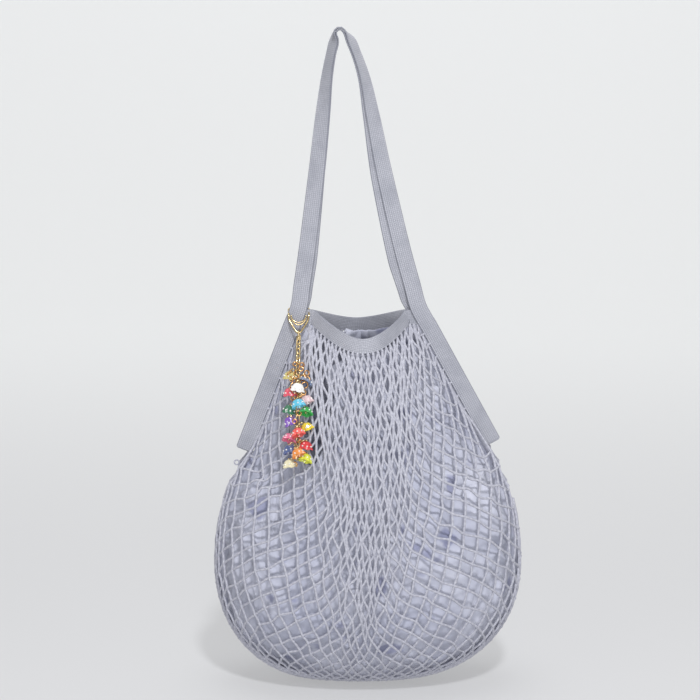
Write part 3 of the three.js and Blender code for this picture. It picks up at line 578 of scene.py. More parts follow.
def gatherPoint(side, column, down):
    turn = np.sin(math.pi / 2 * (2 * column / columns - 1))
    start = np.where(turn < 0, -crossings[-1][0], crossings[1][0])
    return lerp(netTop(side, turn * start), netPoint(side, column, 0 * column), down[..., None])


def sackPoint(side, column, row):
    # rows from -1 to 0 are the strip under the mouth band
    return np.where((row < 0)[..., None], gatherPoint(side, column, (row + 1).clip(0, 1)),
                    netPoint(side, column, row.clip(0)))


gridColumns = np.linspace(0, columns, 121)
gridRows = np.linspace(-1, rows, 265)
grids = {side: sackPoint(side, *np.meshgrid(gridColumns, gridRows, indexing="ij")) for side in (-1, 1)}


def onSurface(side, c, r):
    # a point of the surface, and how it moves with the column and with the row
    grid = grids[side]
    dc, dr = gridColumns[1] - gridColumns[0], gridRows[1] - gridRows[0]
    x = np.clip(c / dc, 0, len(gridColumns) - 1.0001)
    y = np.clip((r + 1) / dr, 0, len(gridRows) - 1.0001)
    i, j = x.astype(int), y.astype(int)
    fx, fy = (x - i)[..., None], (y - j)[..., None]
    a, b, c2, d = grid[i, j], grid[i + 1, j], grid[i, j + 1], grid[i + 1, j + 1]
    point = (a * (1 - fx) + b * fx) * (1 - fy) + (c2 * (1 - fx) + d * fx) * fy
    return point, ((b - a) * (1 - fy) + (d - c2) * fy) / dc, ((c2 - a) * (1 - fx) + (d - b) * fx) / dr


# the net: two families of yarns that cross at knots, relaxed on the surface
net = {
    "meshes": 30, "depth": 19, "cell": 12.5, "leftRows": 9, "rightRows": 10, "topRun": 117, "loops": 7,
    "short": 0.2, "pull": 0.3, "bend": 0.3, "drift": 0.5, "yarn": 2.6, "sides": 6, "bulge": 1.15,
    "unevenness": 1.2, "steps": 4, "knot": 1.35, "leftRun": (-10, -7), "rightRun": (10, -7), "droop": 0.9,
    "weave": 0.3, "sewn": 1.2, "tucked": 3, "seeds": (11, 5),
}


def relaxedNet():
    wide, deep, cell = net["meshes"], net["depth"], net["cell"]
    a, b = np.meshgrid(np.arange(2 * wide + 1), np.arange(2 * deep + 1), indexing="ij")
    even = (a + b) % 2 == 0
    ids = -np.ones(a.shape, int)
    ids[even] = np.arange(even.sum())
    a, b = a[even], b[even]
    count = len(a)
    heldRows = {0: net["leftRows"], 2 * wide: net["rightRows"]}
    # the flat net: yarns hang steeply under the mouth and spread beside the bands
    step = net["topRun"] / wide
    steep = math.sqrt(cell ** 2 - (step / 2) ** 2)

    def hanging(k, first, last, sign, spread):
        k = k[:, None]
        early = np.array([sign * step / 2, -steep])
        return (early * (np.minimum(k, first) + np.maximum(k, last) - last)
                + np.array(spread) * (np.clip(k, first, last) - first))

    flat = hanging((a + b) / 2, wide, wide + net["rightRows"], 1, net["rightRun"])
    flat = flat + hanging((b - a) / 2, 0, net["leftRows"], -1, net["leftRun"])
    # below both runs the meshes stretch downwards
    drooped = ((a + b) / 2 - wide).clip(0, net["rightRows"]) * ((b - a) / 2).clip(0, net["leftRows"])
    across, down = flat[:, 0], net["droop"] * drooped - flat[:, 1]
    ends = []
    for edge in (0, 2 * wide):
        order = np.argsort(down[a == edge])
        ends.append(np.interp(down, down[a == edge][order], across[a == edge][order]))
    share = ((across - ends[0]) / (ends[1] - ends[0])).clip(0, 1)
    part = (down / down[b == 2 * deep].mean()).clip(0, 1)
    cs, rs = {}, {}
    for side in (-1, 1):
        falls = np.array([runOf(line) / runOf(line)[-1] for line in grids[side]])
        reach = np.array([runOf(line) / runOf(line)[-1] for line in grids[side].swapaxes(0, 1)])
        c = share * columns
        for _ in range(4):
            nearest = np.round(c / columns * (len(gridColumns) - 1)).astype(int)
            r = np.array([np.interp(x, falls[k], gridRows) for x, k in zip(part, nearest)])
            nearest = np.round((r + 1) / (rows + 1) * (len(gridRows) - 1)).astype(int)
            c = np.array([np.interp(x, reach[k], gridColumns) for x, k in zip(share, nearest)])
        c[a == 0], c[a == 2 * wide] = 0, columns
        for edge, last in heldRows.items():
            m = (a == edge) & (b > 0)
            k = b[m] / 2
            r[m] = np.where(k <= last, lerp(-0.6, cornerRow, k / last),
                            lerp(slit + 0.1, rows, ((k - last) / (deep - last)).clip(0, 1)))
        c[b == 0] = columns / 2 * (1 + np.arcsin(a[b == 0] / wide - 1) * 2 / math.pi)
        r[b == 0] = -1
        r[b == 2 * deep] = rows
        cs[side], rs[side] = c, r
    onSide = ((a == 0) | (a == 2 * wide)) & (b > 0)
    held = (b == 0) | (onSide & (b == 2 * deep))
    for edge, last in heldRows.items():
        held |= (a == edge) & (b / 2 <= last)
    seam, base = onSide & ~held, (b == 2 * deep) & ~held
    shared, inner = seam | base, ~(held | seam | base)
    near = -np.ones((count, 4), int)
    for k, (da, db) in enumerate([(-1, -1), (1, -1), (-1, 1), (1, 1)]):
        na, nb = a + da, b + db
        inside = (na >= 0) & (na <= 2 * wide) & (nb >= 0) & (nb <= 2 * deep)
        near[inside, k] = ids[na[inside], nb[inside]]
    has = near >= 0
    speed = {side: np.zeros((count, 2)) for side in (-1, 1)}
    for _ in range(net["loops"]):
        moves = {}
        for side in (-1, 1):
            p, pc, pr = onSurface(side, cs[side], rs[side])
            gap = p[near] - p[:, None]
            length = np.linalg.norm(gap, axis=2).clip(1e-6)
            pull = (length - cell) * np.where(length > cell, 1.0, net["short"]) * has
            move = (gap / length[..., None] * pull[..., None]).sum(1)
            move = move / has.sum(1).clip(1)[:, None] * net["pull"]
            for i, j in ((0, 3), (1, 2)):
                both = has[:, i] & has[:, j]
                move += net["bend"] * ((p[near[:, i]] + p[near[:, j]]) / 2 - p) * both[:, None]
            moves[side] = [move, pc, pr]
        mean = (moves[-1][0][shared] + moves[1][0][shared]) / 2
        for side in (-1, 1):
            move, pc, pr = moves[side]
            move[shared] = mean
            cc, rr, cr = (pc * pc).sum(1) + 1, (pr * pr).sum(1) + 1, (pc * pr).sum(1)
            mc, mr = (pc * move).sum(1), (pr * move).sum(1)
            scale = (cc * rr - cr * cr).clip(1e-3)
            change = np.stack([(rr * mc - cr * mr) / scale, (cc * mr - cr * mc) / scale], 1)
            change[seam, 0], change[seam, 1] = 0, mr[seam] / rr[seam]
            change[base, 0], change[base, 1] = mc[base] / cc[base], 0
            change[held] = 0
            speed[side] = np.clip(net["drift"] * speed[side] + change, -0.05, 0.05)
        mean = (speed[-1][shared] + speed[1][shared]) / 2
        for side in (-1, 1):
            speed[side][shared] = mean
            c, r = cs[side] + speed[side][:, 0], rs[side] + speed[side][:, 1]
            c[inner] = c[inner].clip(0.02, columns - 0.02)
            r[inner] = r[inner].clip(-0.97, rows - 0.01)
            r[seam] = np.maximum(r[seam], cornerRow)
            cs[side], rs[side] = c.clip(0, columns), r.clip(-1, rows)
    return a, b, ids, cs, rs, held


def yarnLines(side, layout, rng):
    # each yarn's knots from the mouth or a side down, and every knot's column and row
    a, b, ids, cs, rs, held = layout
    wide, deep = net["meshes"], net["depth"]
    _, pc, pr = onSurface(side, cs[side], rs[side])
    loose = (~held & (b < 2 * deep) & (a > 0) & (a < 2 * wide)) * net["unevenness"]
    c = cs[side] + loose * rng.normal(size=len(a)) / np.linalg.norm(pc, axis=1).clip(4)
    r = rs[side] + loose * rng.normal(size=len(a)) / np.linalg.norm(pr, axis=1).clip(4)
    lines = []
    for turn in (1, -1):
        for start in np.flatnonzero((b == 0) | (a == (0 if turn > 0 else 2 * wide))):
            i, j, line = a[start], b[start], []
            while 0 <= i <= 2 * wide and j <= 2 * deep:
                line.append(ids[i, j])
                i, j = i + turn, j + 1
            if len(line) > 1:
                lines.append((turn, line))
    return lines, c, r


def edgePoint(side, c, r):
    # where a yarn is sewn to the edge of a band, just beyond a knot on the rim
    if r < -0.99:
        turn = math.sin(math.pi / 2 * (2 * c / columns - 1))
        t = turn * (-crossings[-1][0] if turn < 0 else crossings[1][0])
        return bandMiddle(side, t) + bandDown(side, t) * (mouth["width"] / 2 - net["sewn"])
    hand = -1 if c < 1 else 1
    return onSurface(side, np.array([c]), np.array([r]))[0][0] - bands[hand]["inward"] * net["tucked"]


def netStrands(side, layout):
    _, b, _, _, _, held = layout
    lines, c, r = yarnLines(side, layout, np.random.default_rng(net["seeds"][0] + side))
    strands, knots = [], []
    steps = net["steps"]
    for turn, line in lines:
        at = np.linspace(0, len(line) - 1, (len(line) - 1) * steps + 1)
        path = smoothThrough(np.arange(len(line)), np.stack([c[line], r[line]], 1), at)
        point, pc, pr = onSurface(side, path[:, 0].clip(0, columns), path[:, 1].clip(-1, rows))
        normal = unit(np.cross(pc, pr))
        normal *= np.sign(normal[:, 1:2] * side + 1e-9)
        beat = np.cos(2 * math.pi * at)
        # straight between its knots where the band's end would bend it
        nearEnd = (np.minimum(path[:, 0], columns - path[:, 0]) < 0.5) & (abs(path[:, 1] - slit + 0.1) < 0.5)
        evenly = np.linspace(0, 1, steps + 1)[:, None]
        for k in range(0, len(point) - 1, steps):
            if nearEnd[k:k + steps + 1].any():
                point[k:k + steps + 1] = lerp(point[k], point[k + steps], evenly)
        seam = np.abs(point[:, 1:2]) < 0.5
        point = point + normal * (net["weave"] * turn * beat[:, None]) * ~seam
        swell = 1 + (net["bulge"] - 1) * np.clip(beat, 0, 1) ** 3
        for index, first in ((line[0], True), (line[-1], False)):
            if held[index] and b[index] < 2 * net["depth"]:
                place = 0 if first else len(point)
                point = np.insert(point, place, edgePoint(side, c[index], r[index]), axis=0)
                swell = np.insert(swell, place, 1.0)
        strands.append((point, swell))
        if turn > 0:
            knots.append(point[1 if held[line[0]] else 0::steps])
    return strands, np.concatenate(knots)


def geometryTree(name, sockets):
    tree = bpy.data.node_groups.new(name, "GeometryNodeTree")
    tree.interface.new_socket("Geometry", in_out="INPUT", socket_type="NodeSocketGeometry")
    for label, kind, value in sockets:
        socket = tree.interface.new_socket(label, in_out="INPUT", socket_type=kind)
        if value is not None:
            socket.default_value = value
    tree.interface.new_socket("Geometry", in_out="OUTPUT", socket_type="NodeSocketGeometry")
    return tree, tree.nodes.new("NodeGroupInput").outputs, tree.nodes.new("NodeGroupOutput")


def runTree(piece, tree, **values):
    # runs a tree on a piece with its named inputs, and keeps the result as a plain mesh
    modifier = piece.modifiers.new(tree.name, "NODES")
    modifier.node_group = tree
    for socket in tree.interface.items_tree:
        if socket.in_out == "INPUT" and socket.name in values:
            modifier[socket.identifier] = values[socket.name]
    applyModifiers(piece)


def yarnTree():
    # a tube along each yarn and a squashed ball on each knot
    tree, given, result = geometryTree("netYarn", [
        ("Radius", "NodeSocketFloat", 0.00115), ("Sides", "NodeSocketInt", 6),
        ("Knot", "NodeSocketFloat", 0.0017), ("Seed", "NodeSocketInt", 3),
        ("Yarn", "NodeSocketMaterial", None)])
    isKnot, swell = (addNode(tree, "GeometryNodeInputNamedAttribute", {"Name": name}, data_type=kind)
                     .outputs["Attribute"] for name, kind in (("isKnot", "BOOLEAN"), ("swell", "FLOAT")))
    parted = addNode(tree, "GeometryNodeSeparateGeometry", {
        "Geometry": given["Geometry"], "Selection": isKnot}, domain="POINT").outputs
    curve = addNode(tree, "GeometryNodeMeshToCurve", {"Mesh": parted["Inverted"]}).outputs["Curve"]
    radius = mathNode(tree, "MULTIPLY", swell, given["Radius"])
    sized = addNode(tree, "GeometryNodeSetCurveRadius", {"Curve": curve, "Radius": radius}).outputs["Curve"]
    ring = addNode(tree, "GeometryNodeCurvePrimitiveCircle", {"Resolution": given["Sides"], "Radius": 1.0})
    tube = addNode(tree, "GeometryNodeCurveToMesh", {"Curve": sized, "Profile Curve": ring.outputs["Curve"],
                                                     "Scale": radius, "Fill Caps": True})
    ball = addNode(tree, "GeometryNodeMeshIcoSphere", {"Radius": given["Knot"], "Subdivisions": 1})
    squash = addNode(tree, "FunctionNodeRandomValue", {"Min": (0.75, 0.75, 0.75), "Max": (1.1, 1.1, 1.1),
                                                       "Seed": given["Seed"]}, data_type="FLOAT_VECTOR")
    balls = addNode(tree, "GeometryNodeInstanceOnPoints", {
        "Points": parted["Selection"], "Instance": ball.outputs["Mesh"], "Scale": squash.outputs["Value"]})
    real = addNode(tree, "GeometryNodeRealizeInstances", {"Geometry": balls.outputs["Instances"]})
    both = addNode(tree, "GeometryNodeJoinGeometry", {"Geometry": real.outputs["Geometry"]})
    tree.links.new(tube.outputs["Mesh"], both.inputs["Geometry"])
    soft = addNode(tree, "GeometryNodeSetShadeSmooth", {"Geometry": both.outputs["Geometry"]})
    worn = addNode(tree, "GeometryNodeSetMaterial", {"Geometry": soft.outputs["Geometry"],
                                                     "Material": given["Yarn"]})
    tree.links.new(worn.outputs["Geometry"], result.inputs["Geometry"])
    return tree


def makeNet(side, layout, tree):
    strands, knots = netStrands(side, layout)
    points = np.concatenate([point for point, _ in strands] + [knots])
    swells = np.concatenate([swell for _, swell in strands] + [np.ones(len(knots))])
    runs = np.concatenate([runOf(point) for point, _ in strands] + [np.zeros(len(knots))])
    ends = np.cumsum([len(point) for point, _ in strands]).tolist()
    edges = sorted({(k, k + 1) for k in range(ends[-1])} - {(end - 1, end) for end in ends})
    name = "net_front" if side < 0 else "net_back"
    mesh = bpy.data.meshes.new(name)
    mesh.from_pydata(toFrame(points).tolist(), edges, [])
    for label, kind, field, values in (
            ("swell", "FLOAT", "value", swells.astype(np.float32)),
            ("isKnot", "BOOLEAN", "value", (np.arange(len(points)) >= ends[-1]).tolist()),
            ("yarnRun", "FLOAT_VECTOR", "vector", np.outer(runs, (1, 0, 0)).astype(np.float32).ravel())):
        mesh.attributes.new(label, kind, "POINT").data.foreach_set(field, values)
    piece = placed(name, mesh)
    radius = net["yarn"] / 2000
    runTree(piece, tree, Radius=radius, Sides=net["sides"], Knot=radius * net["knot"],
            Seed=net["seeds"][1] + side, Yarn=yarn)
    return finishPiece(piece, yarn, "net_yarn", "net_body")


layout = relaxedNet()
netTree = yarnTree()
for side in (-1, 1):
    netPiece = makeNet(side, layout, netTree)
    print(netPiece.name, len(netPiece.data.polygons))


# the inner pouch: a crumpled cloth shell just inside the net
pouch = {
    "wall": 1.2, "across": 120, "down": 150, "margin": 0.05, "crumple": 12.0, "draw": 3, "clear": 0.4,
    "rim": [(0, -1), (.1, -.5), (.16, .6), (.2, 1.9), (.25, 2.8), (.3, 3.0), (.35, 2.2), (.4, .5),
            (.46, -.6), (.6, -.8), (.75, -.6), (.9, .0), (.96, .3), (1, -1)],     # across, top row
    "raise": 7, "under": 8.5, "creases": 55,
    # side, across, down, reach, depth
    "folds": [(-1, -.55, .3, .22, 5), (-1, .2, .18, .2, 6), (-1, .62, .45, .25, 5),
              (-1, -.2, .62, .2, 4), (1, -.3, .25, .25, 6), (1, .45, .5, .25, 5)],
}


def creaseDepth(p):
    # sharp creases and soft hollows of crumpled cotton, from 0 to about 1
    q = Vector(p) / pouch["creases"]
    warp = noise.noise_vector(q * 0.8) * 0.9
    broad = noise.noise(q + warp)
    ridge = 1 - abs(noise.noise(q * 1.7 + warp + Vector((7, 3, 1)))) * 2.2
    fine = 1 - abs(noise.noise(q * 3.6 + warp * 1.5 + Vector((2, 9, 4)))) * 2.2
    return max(0.0, 0.45 + 0.5 * broad - 0.45 * max(ridge, 0) ** 2 - 0.18 * max(fine, 0) ** 2 + 0.3)


def pouchRing():
    # a smoothed ring of points for each row: across the front, then back across the back
    margin = pouch["margin"]
    c = np.linspace(margin, columns - margin, pouch["across"] + 1)[:, None]
    down = np.linspace(0, 1, pouch["down"] + 1)[None]
    shells = {}
    for side in (-1, 1):
        first = np.interp(c / columns, *np.array(pouch["rim"]).T) if side < 0 else -1.0
        r = lerp(first, rows - 0.02, down) + 0 * c
        p = sackPoint(side, c + 0 * r, r)
        p[..., 1] *= np.maximum(smooth(np.minimum(c - margin, columns - margin - c), 0, 0.5), 0.02)
        p[[0, -1], :, 1] = 0
        # beside the side bands it reaches in under them
        under = pouch["under"] * (1 - smooth(r, 3.15, 3.85))[..., None]
        for hand, near in ((-1, c), (1, columns - c)):
            p -= bands[hand]["inward"] * under * (1 - smooth(near, margin, 0.3))[..., None]
        shells[side] = p
    for end in (0, -1):
        shells[-1][end] = shells[1][end] = (shells[-1][end] + shells[1][end]) / 2
    ring = np.concatenate([shells[-1], shells[1][-2:0:-1]])
    for _ in range(10):
        ring[:, 1:-1] = (ring[:, :-2] + 2 * ring[:, 1:-1] + ring[:, 2:]) / 4
        ring = (np.roll(ring, 1, 0) + 2 * ring + np.roll(ring, -1, 0)) / 4
    ring[..., 2] += pouch["raise"] * (1 - smooth(down, 0, 0.035))
    return ring


def makePouch():
    ring = pouchRing()
    normal = unit(np.cross(np.roll(ring, -1, 0) - np.roll(ring, 1, 0), np.gradient(ring, axis=1)))
    normal *= np.where(dot(normal, ring - ring.mean(0, keepdims=True)) < 0, -1, 1)
    side = np.where(np.arange(len(ring)) <= pouch["across"], -1, 1)[:, None]
    across = (ring[..., 0] - sack["middle"]) / (sack["width"] / 2)
    up = ring[..., 2] / ring[..., 2].max()
    deep = pouch["clear"] + pouch["draw"] * smooth(up, 0.8, 1)
    for foldSide, x, below, reach, depth in pouch["folds"]:
        far = np.hypot(across - x, 1 - up - below) / reach
        deep = deep + (side == foldSide) * depth * np.exp(-far ** 2)
    crease = np.array([[creaseDepth(p) for p in column] for column in ring])
    # the cloth lies flat at the side seams and the base
    room = smooth(np.abs(ring[..., 1]), 1, 11) * smooth(ring[..., 2], 2, 14)
    ring = ring - normal * (halfNet + seat + (deep + pouch["crumple"] * crease) * room)[..., None]
    # the cloth as cut, folded once at the base: half the girth wide and twice the fall long
    girth = np.linalg.norm(ring - np.roll(ring, 1, 0), axis=2).sum(0).max() / 1000
    fall = np.linalg.norm(np.diff(ring, axis=1), axis=2).sum(1).max() / 1000
    cut = (round(float(girth) / 2, 2), round(2 * float(fall), 2))
    n, m = ring.shape[:2]
    faces = gridFaces(n, m, closed=True, wrapped=False) + [[i * m + m - 1 for i in range(n)]]
    piece = meshPiece("cloth_pouch", ring.reshape(-1, 3), faces)
    closeSeams(piece)
    wall = piece.modifiers.new("wall", "SOLIDIFY")
    wall.thickness, wall.offset = pouch["wall"] / 1000, -1
    applyModifiers(piece)
    finishPiece(piece, cloth, "pouch_cloth", "inner_pouch")
    area = sum(f.area for f in piece.data.polygons) / 2
    print("pouch", len(piece.data.polygons), "area", round(area, 4), "cut", cut)
    return piece, area, cut


noise.seed_set(1)      # the same creases on each run
pouchPiece, pouchArea, pouchCut = makePouch()


# the gold clasp, the chain and the beads
clasp = {
    "wire": 2.2, "foot": 376, "rise": 25, "reach": 13,
    "path": [(0, 0, -.7), (.62, .03, -.66), (1, .11, -.46), (1, .2, 0), (1, .29, .46),   # out, down, forward
             (.93, .47, .6), (.7, .66, .76), (.42, .83, .88), (.22, .95, .97), (0, 1, 1)],
    "arcs": [(9.5, .9, 1.6), (7, .86, 1)], "arcTop": .72, "arcFront": (-9.2, -2.2),      # low, wide, wire
}
chain = {
    "length": 14.4, "width": 6.4, "wire": 1.8, "count": 13, "shown": 12, "braided": 4, "play": 1,
    "nest": 1.5, "clear": 5.6, "beside": (-8, 14), "level": 2.5,
}
linkPitch = chain["length"] - chain["nest"] * chain["wire"]
sideLoop = {"centre": (-109.5, -2.0, 236.0), "width": 6.5, "wire": 1.6, "facing": (0.3, -1, 0.2)}


def roundOf(count):
    turn = 2 * math.pi * np.arange(count) / count
    return np.cos(turn), np.sin(turn)


def wireAlong(points, diameter, closed=False, sides=10, normal=(0, -1, 0)):
    run = np.roll(points, -1, 0) - np.roll(points, 1, 0) if closed else np.gradient(points, axis=0)
    run = unit(run)
    across = unit(np.cross(run, np.broadcast_to(np.array(normal, float), run.shape)))
    section = np.stack(roundOf(sides), 1) * diameter / 2
    return swept(points, across, unit(np.cross(across, run)), section, closed)


def claspPoint(row, hand):
    half = halfTape + 2 * seat + clasp["wire"] / 2
    return np.array([mouth["left"] + hand * row[0] * half, -clasp["reach"] * row[2],
                     clasp["foot"] + clasp["rise"] * (1 - row[1])])


def makeClasp():
    right = [claspPoint(row, 1) for row in clasp["path"]]
    left = [claspPoint(row, -1) for row in clasp["path"][1:-1]][::-1]
    loop = np.array(right + left)
    wrapped = np.concatenate([loop[-3:], loop, loop[:3]])
    keys = runOf(wrapped)
    at = np.linspace(keys[3], keys[3 + len(loop)], 141)[:-1]
    points = smoothThrough(keys, wrapped, at)
    parts = [wireAlong(points, clasp["wire"], True, 12, (0, clasp["rise"], -clasp["reach"]))]
    # the inner arcs that close the clasp in front of the strap
    t = np.linspace(0, math.pi, 30)
    front, bow = clasp["arcFront"]
    for low, wide, wire in clasp["arcs"]:
        half = halfTape * wide
        arc = np.stack([mouth["left"] - half * np.cos(t), front + bow * np.sin(t),
                        clasp["foot"] + clasp["rise"] * clasp["arcTop"] - low * np.sin(t)], 1)
        parts.append(wireAlong(arc, wire, False, 8))
    piece = meshPiece("drop_clasp", *joined(parts))
    return finishPiece(piece, gold, "gold_plate", "clasp_ring")


def chainLine():
    # the chain hangs from the clasp's foot, clear of the net's front
    grid = grids[-1].reshape(-1, 3)
    end = claspPoint(clasp["path"][-1], 1)
    left, right = end[0] + np.array(chain["beside"])
    heights = end[2] - chain["count"] * linkPitch * np.arange(13) / 12
    depths = []
    for height in heights:
        near = grid[(abs(grid[:, 2] - height) < chain["level"]) & (grid[:, 0] > left) & (grid[:, 0] < right)]
        depths.append(min(near[:, 1].min() - chain["clear"] if len(near) else end[1], end[1]))
    depths[0] = end[1]
    return np.stack([np.full(13, end[0]), depths, heights], 1)


def makeChain():
    line = chainLine()
    keys = runOf(line)
    parts = []
    first = chain["length"] / 2 - clasp["wire"] / 2 - chain["wire"] - chain["play"]
    wide, tall = (chain["width"] - chain["wire"]) / 2, (chain["length"] - chain["wire"]) / 2
    x, y = roundOf(28)
    places = [(first + k * linkPitch, k) for k in range(chain["shown"])]
    places += [(first + (k + 0.5) * linkPitch, k) for k in range(chain["braided"])]
    for down, k in places:
        at = min(down, keys[-1] - 0.5)
        centre = smoothThrough(keys, line, [at])[0]
        run = unit(smoothThrough(keys, line, [min(at + 0.5, keys[-1])])[0]
                   - smoothThrough(keys, line, [at - 0.5])[0])
        across = np.array([1.0, 0, 0])
        out = unit(np.cross(run, across))
        turn = math.pi / 2 if down == first else math.pi / 4 + (k % 2) * math.pi / 2
        flat = across * math.cos(turn) + out * math.sin(turn)
        points = centre + np.outer(np.abs(x) ** 0.6 * np.sign(x) * wide, flat) + np.outer(y * tall, run)
        parts.append(wireAlong(points, chain["wire"], True, 8, np.cross(flat, run)))
    piece = meshPiece("drop_chain", *joined(parts))
    return finishPiece(piece, gold, "gold_plate", "charm_chain")


beadLook = {
    "pale_yellow": ("#f0dc96", 0.6), "blue_grey": ("#93a7c8", 0.6), "white": ("#e6e3de", 0.1),
    "rose_red": ("#e2566c", 0.35), "pale_pink": ("#f0cdd2", 0.35), "light_blue": ("#5fc4e4", 0.3),
    "dark_green": ("#2f7b57", 0.4), "green": ("#3dbb58", 0.35), "purple": ("#8a58c4", 0.4),
    "yellow": ("#f2cf33", 0.3), "coral": ("#f4554c", 0.3), "pink": ("#f07b9c", 0.35),
    "red": ("#dd343c", 0.35), "dark_blue": ("#6a7bb0", 0.6), "lime": ("#dde43c", 0.3),
    "orange": ("#f2923f", 0.3), "cream": ("#f3e4c2", 0.35),
}
beadShape = {
    "petals": 5, "scallop": 0.3, "around": 30, "grow": (1.15, 1.2, 0.94), "pearls": 8, "pearl": 0.95,
    "balls": [(0.02, 1.7, 10, 6), (0.56, 1.3, 8, 5), (-0.3, 1.2, 8, 5)],      # height, radius, sides, rings
    # jump rings in a cluster above the beads: across, above the lowest point, width
    "ringWire": 1.4,
    "rings": [(-48, 341, 6), (-40, 343, 6), (-45, 336, 7), (-50, 333, 6.5), (-38, 334, 7), (-43, 330, 7),
              (-48, 327, 7), (-36, 327, 8), (-42, 323, 7), (-50, 321, 6), (-37, 320, 6), (-45, 317, 6.5),
              (-52, 338, 6), (-34, 339, 6.5),
              (-39, 347, 6), (-46, 348, 6), (-33, 333, 6), (-45, 326, 6.5), (-41, 318, 6), (-48, 314, 6),
              (-42, 300, 6.5), (-46, 292, 6), (-40, 285, 7), (-45, 280, 7), (-41, 272, 6), (-45, 264, 6),
              (-40, 258, 6), (-45, 250, 6)],
}


def petalCup(size, rng):
    # a bell of rounded petals that opens down, with a wall, about its centre
    around, petals = beadShape["around"], beadShape["petals"]
    profile = [(0.08, 0.46), (0.34, 0.5), (0.62, 0.4), (0.8, 0.16), (0.92, -0.14), (1.08, -0.42),
               (0.98, -0.5), (0.8, -0.24), (0.62, 0.04), (0.36, 0.24), (0.08, 0.3)]
    turn = 2 * math.pi * np.arange(around) / around + rng.uniform(0, 1)
    lobe = np.abs(np.cos(petals / 2 * turn)) ** 0.7
    points = []
    for out, high in profile:
        wide = out * (1 + beadShape["scallop"] * (lobe - 0.7) * out)
        dip = 0.3 * (lobe - 0.4) * max(out - 0.5, 0)
        points.append(np.stack([np.cos(turn) * wide / 2, np.sin(turn) * wide / 2, high - dip], 1))
    return np.concatenate(points) * np.array(size), gridFaces(len(profile), around, closed=True, turned=True)


def tilted(points, tip):
    a, b = tip
    turnX = np.array([[1, 0, 0], [0, math.cos(a), -math.sin(a)], [0, math.sin(a), math.cos(a)]])
    turnY = np.array([[math.cos(b), 0, math.sin(b)], [0, 1, 0], [-math.sin(b), 0, math.cos(b)]])
    return points @ turnX.T @ turnY.T


def ballOf(centre, radius, sides=10, rings=6):
    x, y = roundOf(sides)
    points = [np.stack([x * math.sin(a), y * math.sin(a), np.full(sides, math.cos(a))], 1) * radius + centre
              for a in np.linspace(0, math.pi, rings + 1)]
    faces = gridFaces(rings + 1, sides, turned=True)
    return np.concatenate(points), faces, np.zeros((4 * len(faces), 2))


def ringOf(centre, width, wire, face):
    # a round wire ring whose plane faces along a direction
    face = unit(np.array(face, float))
    first = unit(np.cross(face, [0.3, 0.2, 1.0]))
    second = np.cross(face, first)
    x, y = roundOf(20)
    points = centre + (np.outer(x, first) + np.outer(y, second)) * (width - wire) / 2
    return wireAlong(points, wire, True, 8, face)


pearl = beadMaterial("bead_pearl", "#f6f2ea", 0.2)


def makeBeads():
    rng = np.random.default_rng(21)
    trims, pearls, rings = [], [], []
    line = chainLine()
    names = [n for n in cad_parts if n.startswith("bead_")]
    for name, (look, (colour, clear)) in zip(sorted(names), beadLook.items()):
        lowest, highest = np.array(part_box(name)) * 1000
        centre = (lowest + highest) / 2 + [0, 0, lift]
        size = (highest - lowest) * beadShape["grow"]
        tip = rng.uniform(-0.5, 0.5, 2) + [-0.35, 0]
        points, faces = petalCup(size, rng)
        piece = meshPiece(f"{name}_petals", tilted(points, tip) + centre, faces)
        closeSeams(piece)
        piece.data.polygons.foreach_set("use_smooth", [False] * len(piece.data.polygons))
        finishPiece(piece, beadMaterial(f"bead_{look}", colour, clear), f"bead_{look}", name)

        def onBead(x, y, z):
            return tilted(np.array([[x, y, z]]) * size, tip)[0] + centre

        trims += [ballOf(onBead(0, 0, high), *ball) for high, *ball in beadShape["balls"]]
        spin = rng.uniform(0, 2 * math.pi)
        for k in range(beadShape["pearls"]):
            a = spin + 2 * math.pi * k / beadShape["pearls"]
            place = onBead(0.46 * math.cos(a), 0.46 * math.sin(a), -0.12)
            pearls.append(ballOf(place, beadShape["pearl"], 8, 4))
        core = smoothThrough(line[::-1, 2], line[::-1], [centre[2] + size[2] * 0.7])[0]
        trims.append(ringOf(lerp(core, onBead(0, 0, 0.56), 0.6) + [0, -1.5, 0], 6, 1.2, rng.normal(size=3)))
    for x, z, width in beadShape["rings"]:
        at = smoothThrough(line[::-1, 2], line[::-1], [z])[0]
        rings.append(ringOf(np.array([x, at[1] - 2.2 + rng.uniform(-1, 1), z]), width, beadShape["ringWire"],
                            [rng.normal() * 0.5, -1, rng.normal() * 0.5]))
    for name, parts, dress, slotName in (("bead_trims", trims, gold, "gold_plate"),
                                         ("jump_rings", rings, ringGold, "gold_plate"),
                                         ("bead_pearls", pearls, pearl, "bead_white")):
        piece = meshPiece(name, *joined(parts))
        closeSeams(piece)
        finishPiece(piece, dress, slotName)


def makeYarnLoop():
    # a small loop of yarn that stands off the left side under the band
    loop = ringOf(np.array(sideLoop["centre"]), sideLoop["width"], sideLoop["wire"], sideLoop["facing"])
    return finishPiece(meshPiece("yarn_loop", *loop), yarn, "net_yarn")


print("clasp, chain and beads")
makeYarnLoop()
makeClasp()
makeChain()
makeBeads()


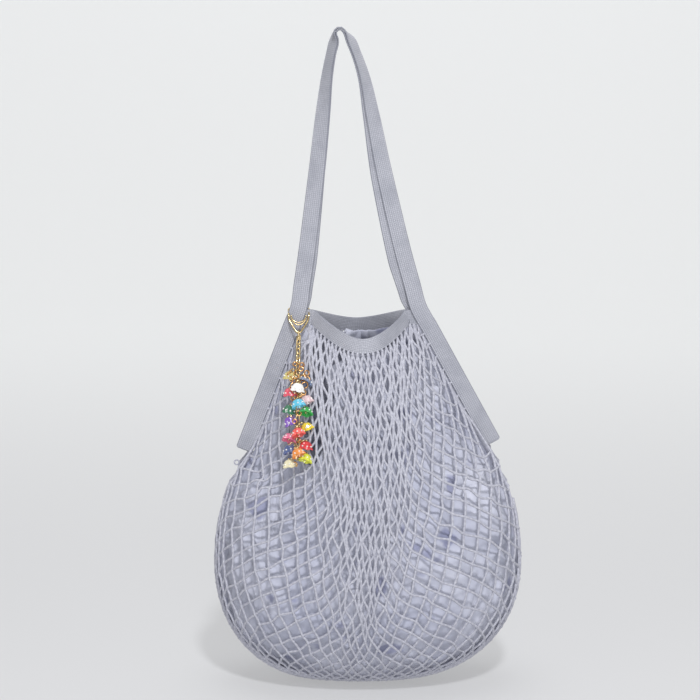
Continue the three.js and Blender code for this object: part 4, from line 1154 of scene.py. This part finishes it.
# floor, light and camera
studio = {
    "floor": "#999a9d", "wall": "#cdcfd0", "glow": 0.34, "foot": 2.6, "bend": 0.9, "near": -6.0, "half": 6,
    "high": 5.0, "under": 0.0004, "fade": (0.2, 2.8), "world": 0.37,
    # name, place, aim, size, power
    "lamps": [("key", (0.4, -2.3, 2.2), (0, 0, -0.4), 0.35, 69),
              ("fill", (-2.2, -1.8, 0.9), (0, 0, -0.4), 2.0, 3),
              ("low", (0.2, -2.6, -0.25), (0, 0, -0.55), 1.2, 24),
              ("top", (0, 0.2, 2.2), (0, 0.2, -0.4), 2.0, 22)],
    "camera": {"sensor": 36, "lens": 97.96, "place": (0.0105, -1.9754, -0.0172),
               "aim": (0.0105, 0, -0.3301)},
}


def makeStage():
    # a pale floor that curves up into the wall behind
    floor = float(cadBox[0][2]) - studio["under"]
    bend, foot, half = studio["bend"], studio["foot"], studio["half"]
    profile = [(studio["near"], 0.0), (foot, 0.0)]
    profile += [(foot + bend * math.sin(a), bend * (1 - math.cos(a)))
                for a in np.linspace(0, math.pi / 2, 13)[1:]]
    profile += [(foot + bend, studio["high"])]
    points = [(x, y, floor + z) for y, z in profile for x in (-half, half)]
    mesh = bpy.data.meshes.new("studio_sweep")
    mesh.from_pydata(points, [], gridFaces(len(profile), 2, wrapped=False))
    mesh.polygons.foreach_set("use_smooth", [True] * len(mesh.polygons))
    material, tree, shader = newMaterial("studio_paper", studio["floor"], Roughness=0.95,
                                         Emission_Color=(1, 1, 1, 1), Emission_Strength=studio["glow"])
    place = addNode(tree, "ShaderNodeTexCoord").outputs["Object"]
    apart = addNode(tree, "ShaderNodeSeparateXYZ", {"Vector": place}).outputs
    rise = ranged(tree, apart["Y"], studio["fade"], kind="SMOOTHSTEP")
    tree.links.new(blendColours(tree, rise, studio["floor"], studio["wall"]), shader.inputs["Base Color"])
    mesh.materials.append(material)
    placed("studio_sweep", mesh)


def aimed(thing, place, aim):
    thing.location = place
    thing.rotation_euler = (Vector(aim) - Vector(place)).to_track_quat("-Z", "Y").to_euler()
    return thing


def makeLight(name, place, aim, size, power):
    lamp = bpy.data.lights.new(name, "AREA")
    lamp.shape, lamp.size, lamp.energy = "DISK", size, power
    aimed(placed(name, lamp), place, aim)


def makeCamera():
    view = studio["camera"]
    lens = bpy.data.cameras.new("camera")
    lens.sensor_width, lens.lens = view["sensor"], view["lens"]
    bpy.context.scene.camera = aimed(placed("camera", lens), view["place"], view["aim"])


makeStage()
for lampRow in studio["lamps"]:
    makeLight(*lampRow)
world = bpy.data.worlds.new("studio")
bpy.context.scene.world = world
world.use_nodes = True
world.node_tree.nodes["Background"].inputs["Color"].default_value = (1, 1, 1, 1)
world.node_tree.nodes["Background"].inputs["Strength"].default_value = studio["world"]
bpy.context.scene.view_settings.view_transform = "Standard"
makeCamera()
print("stage, light and camera")
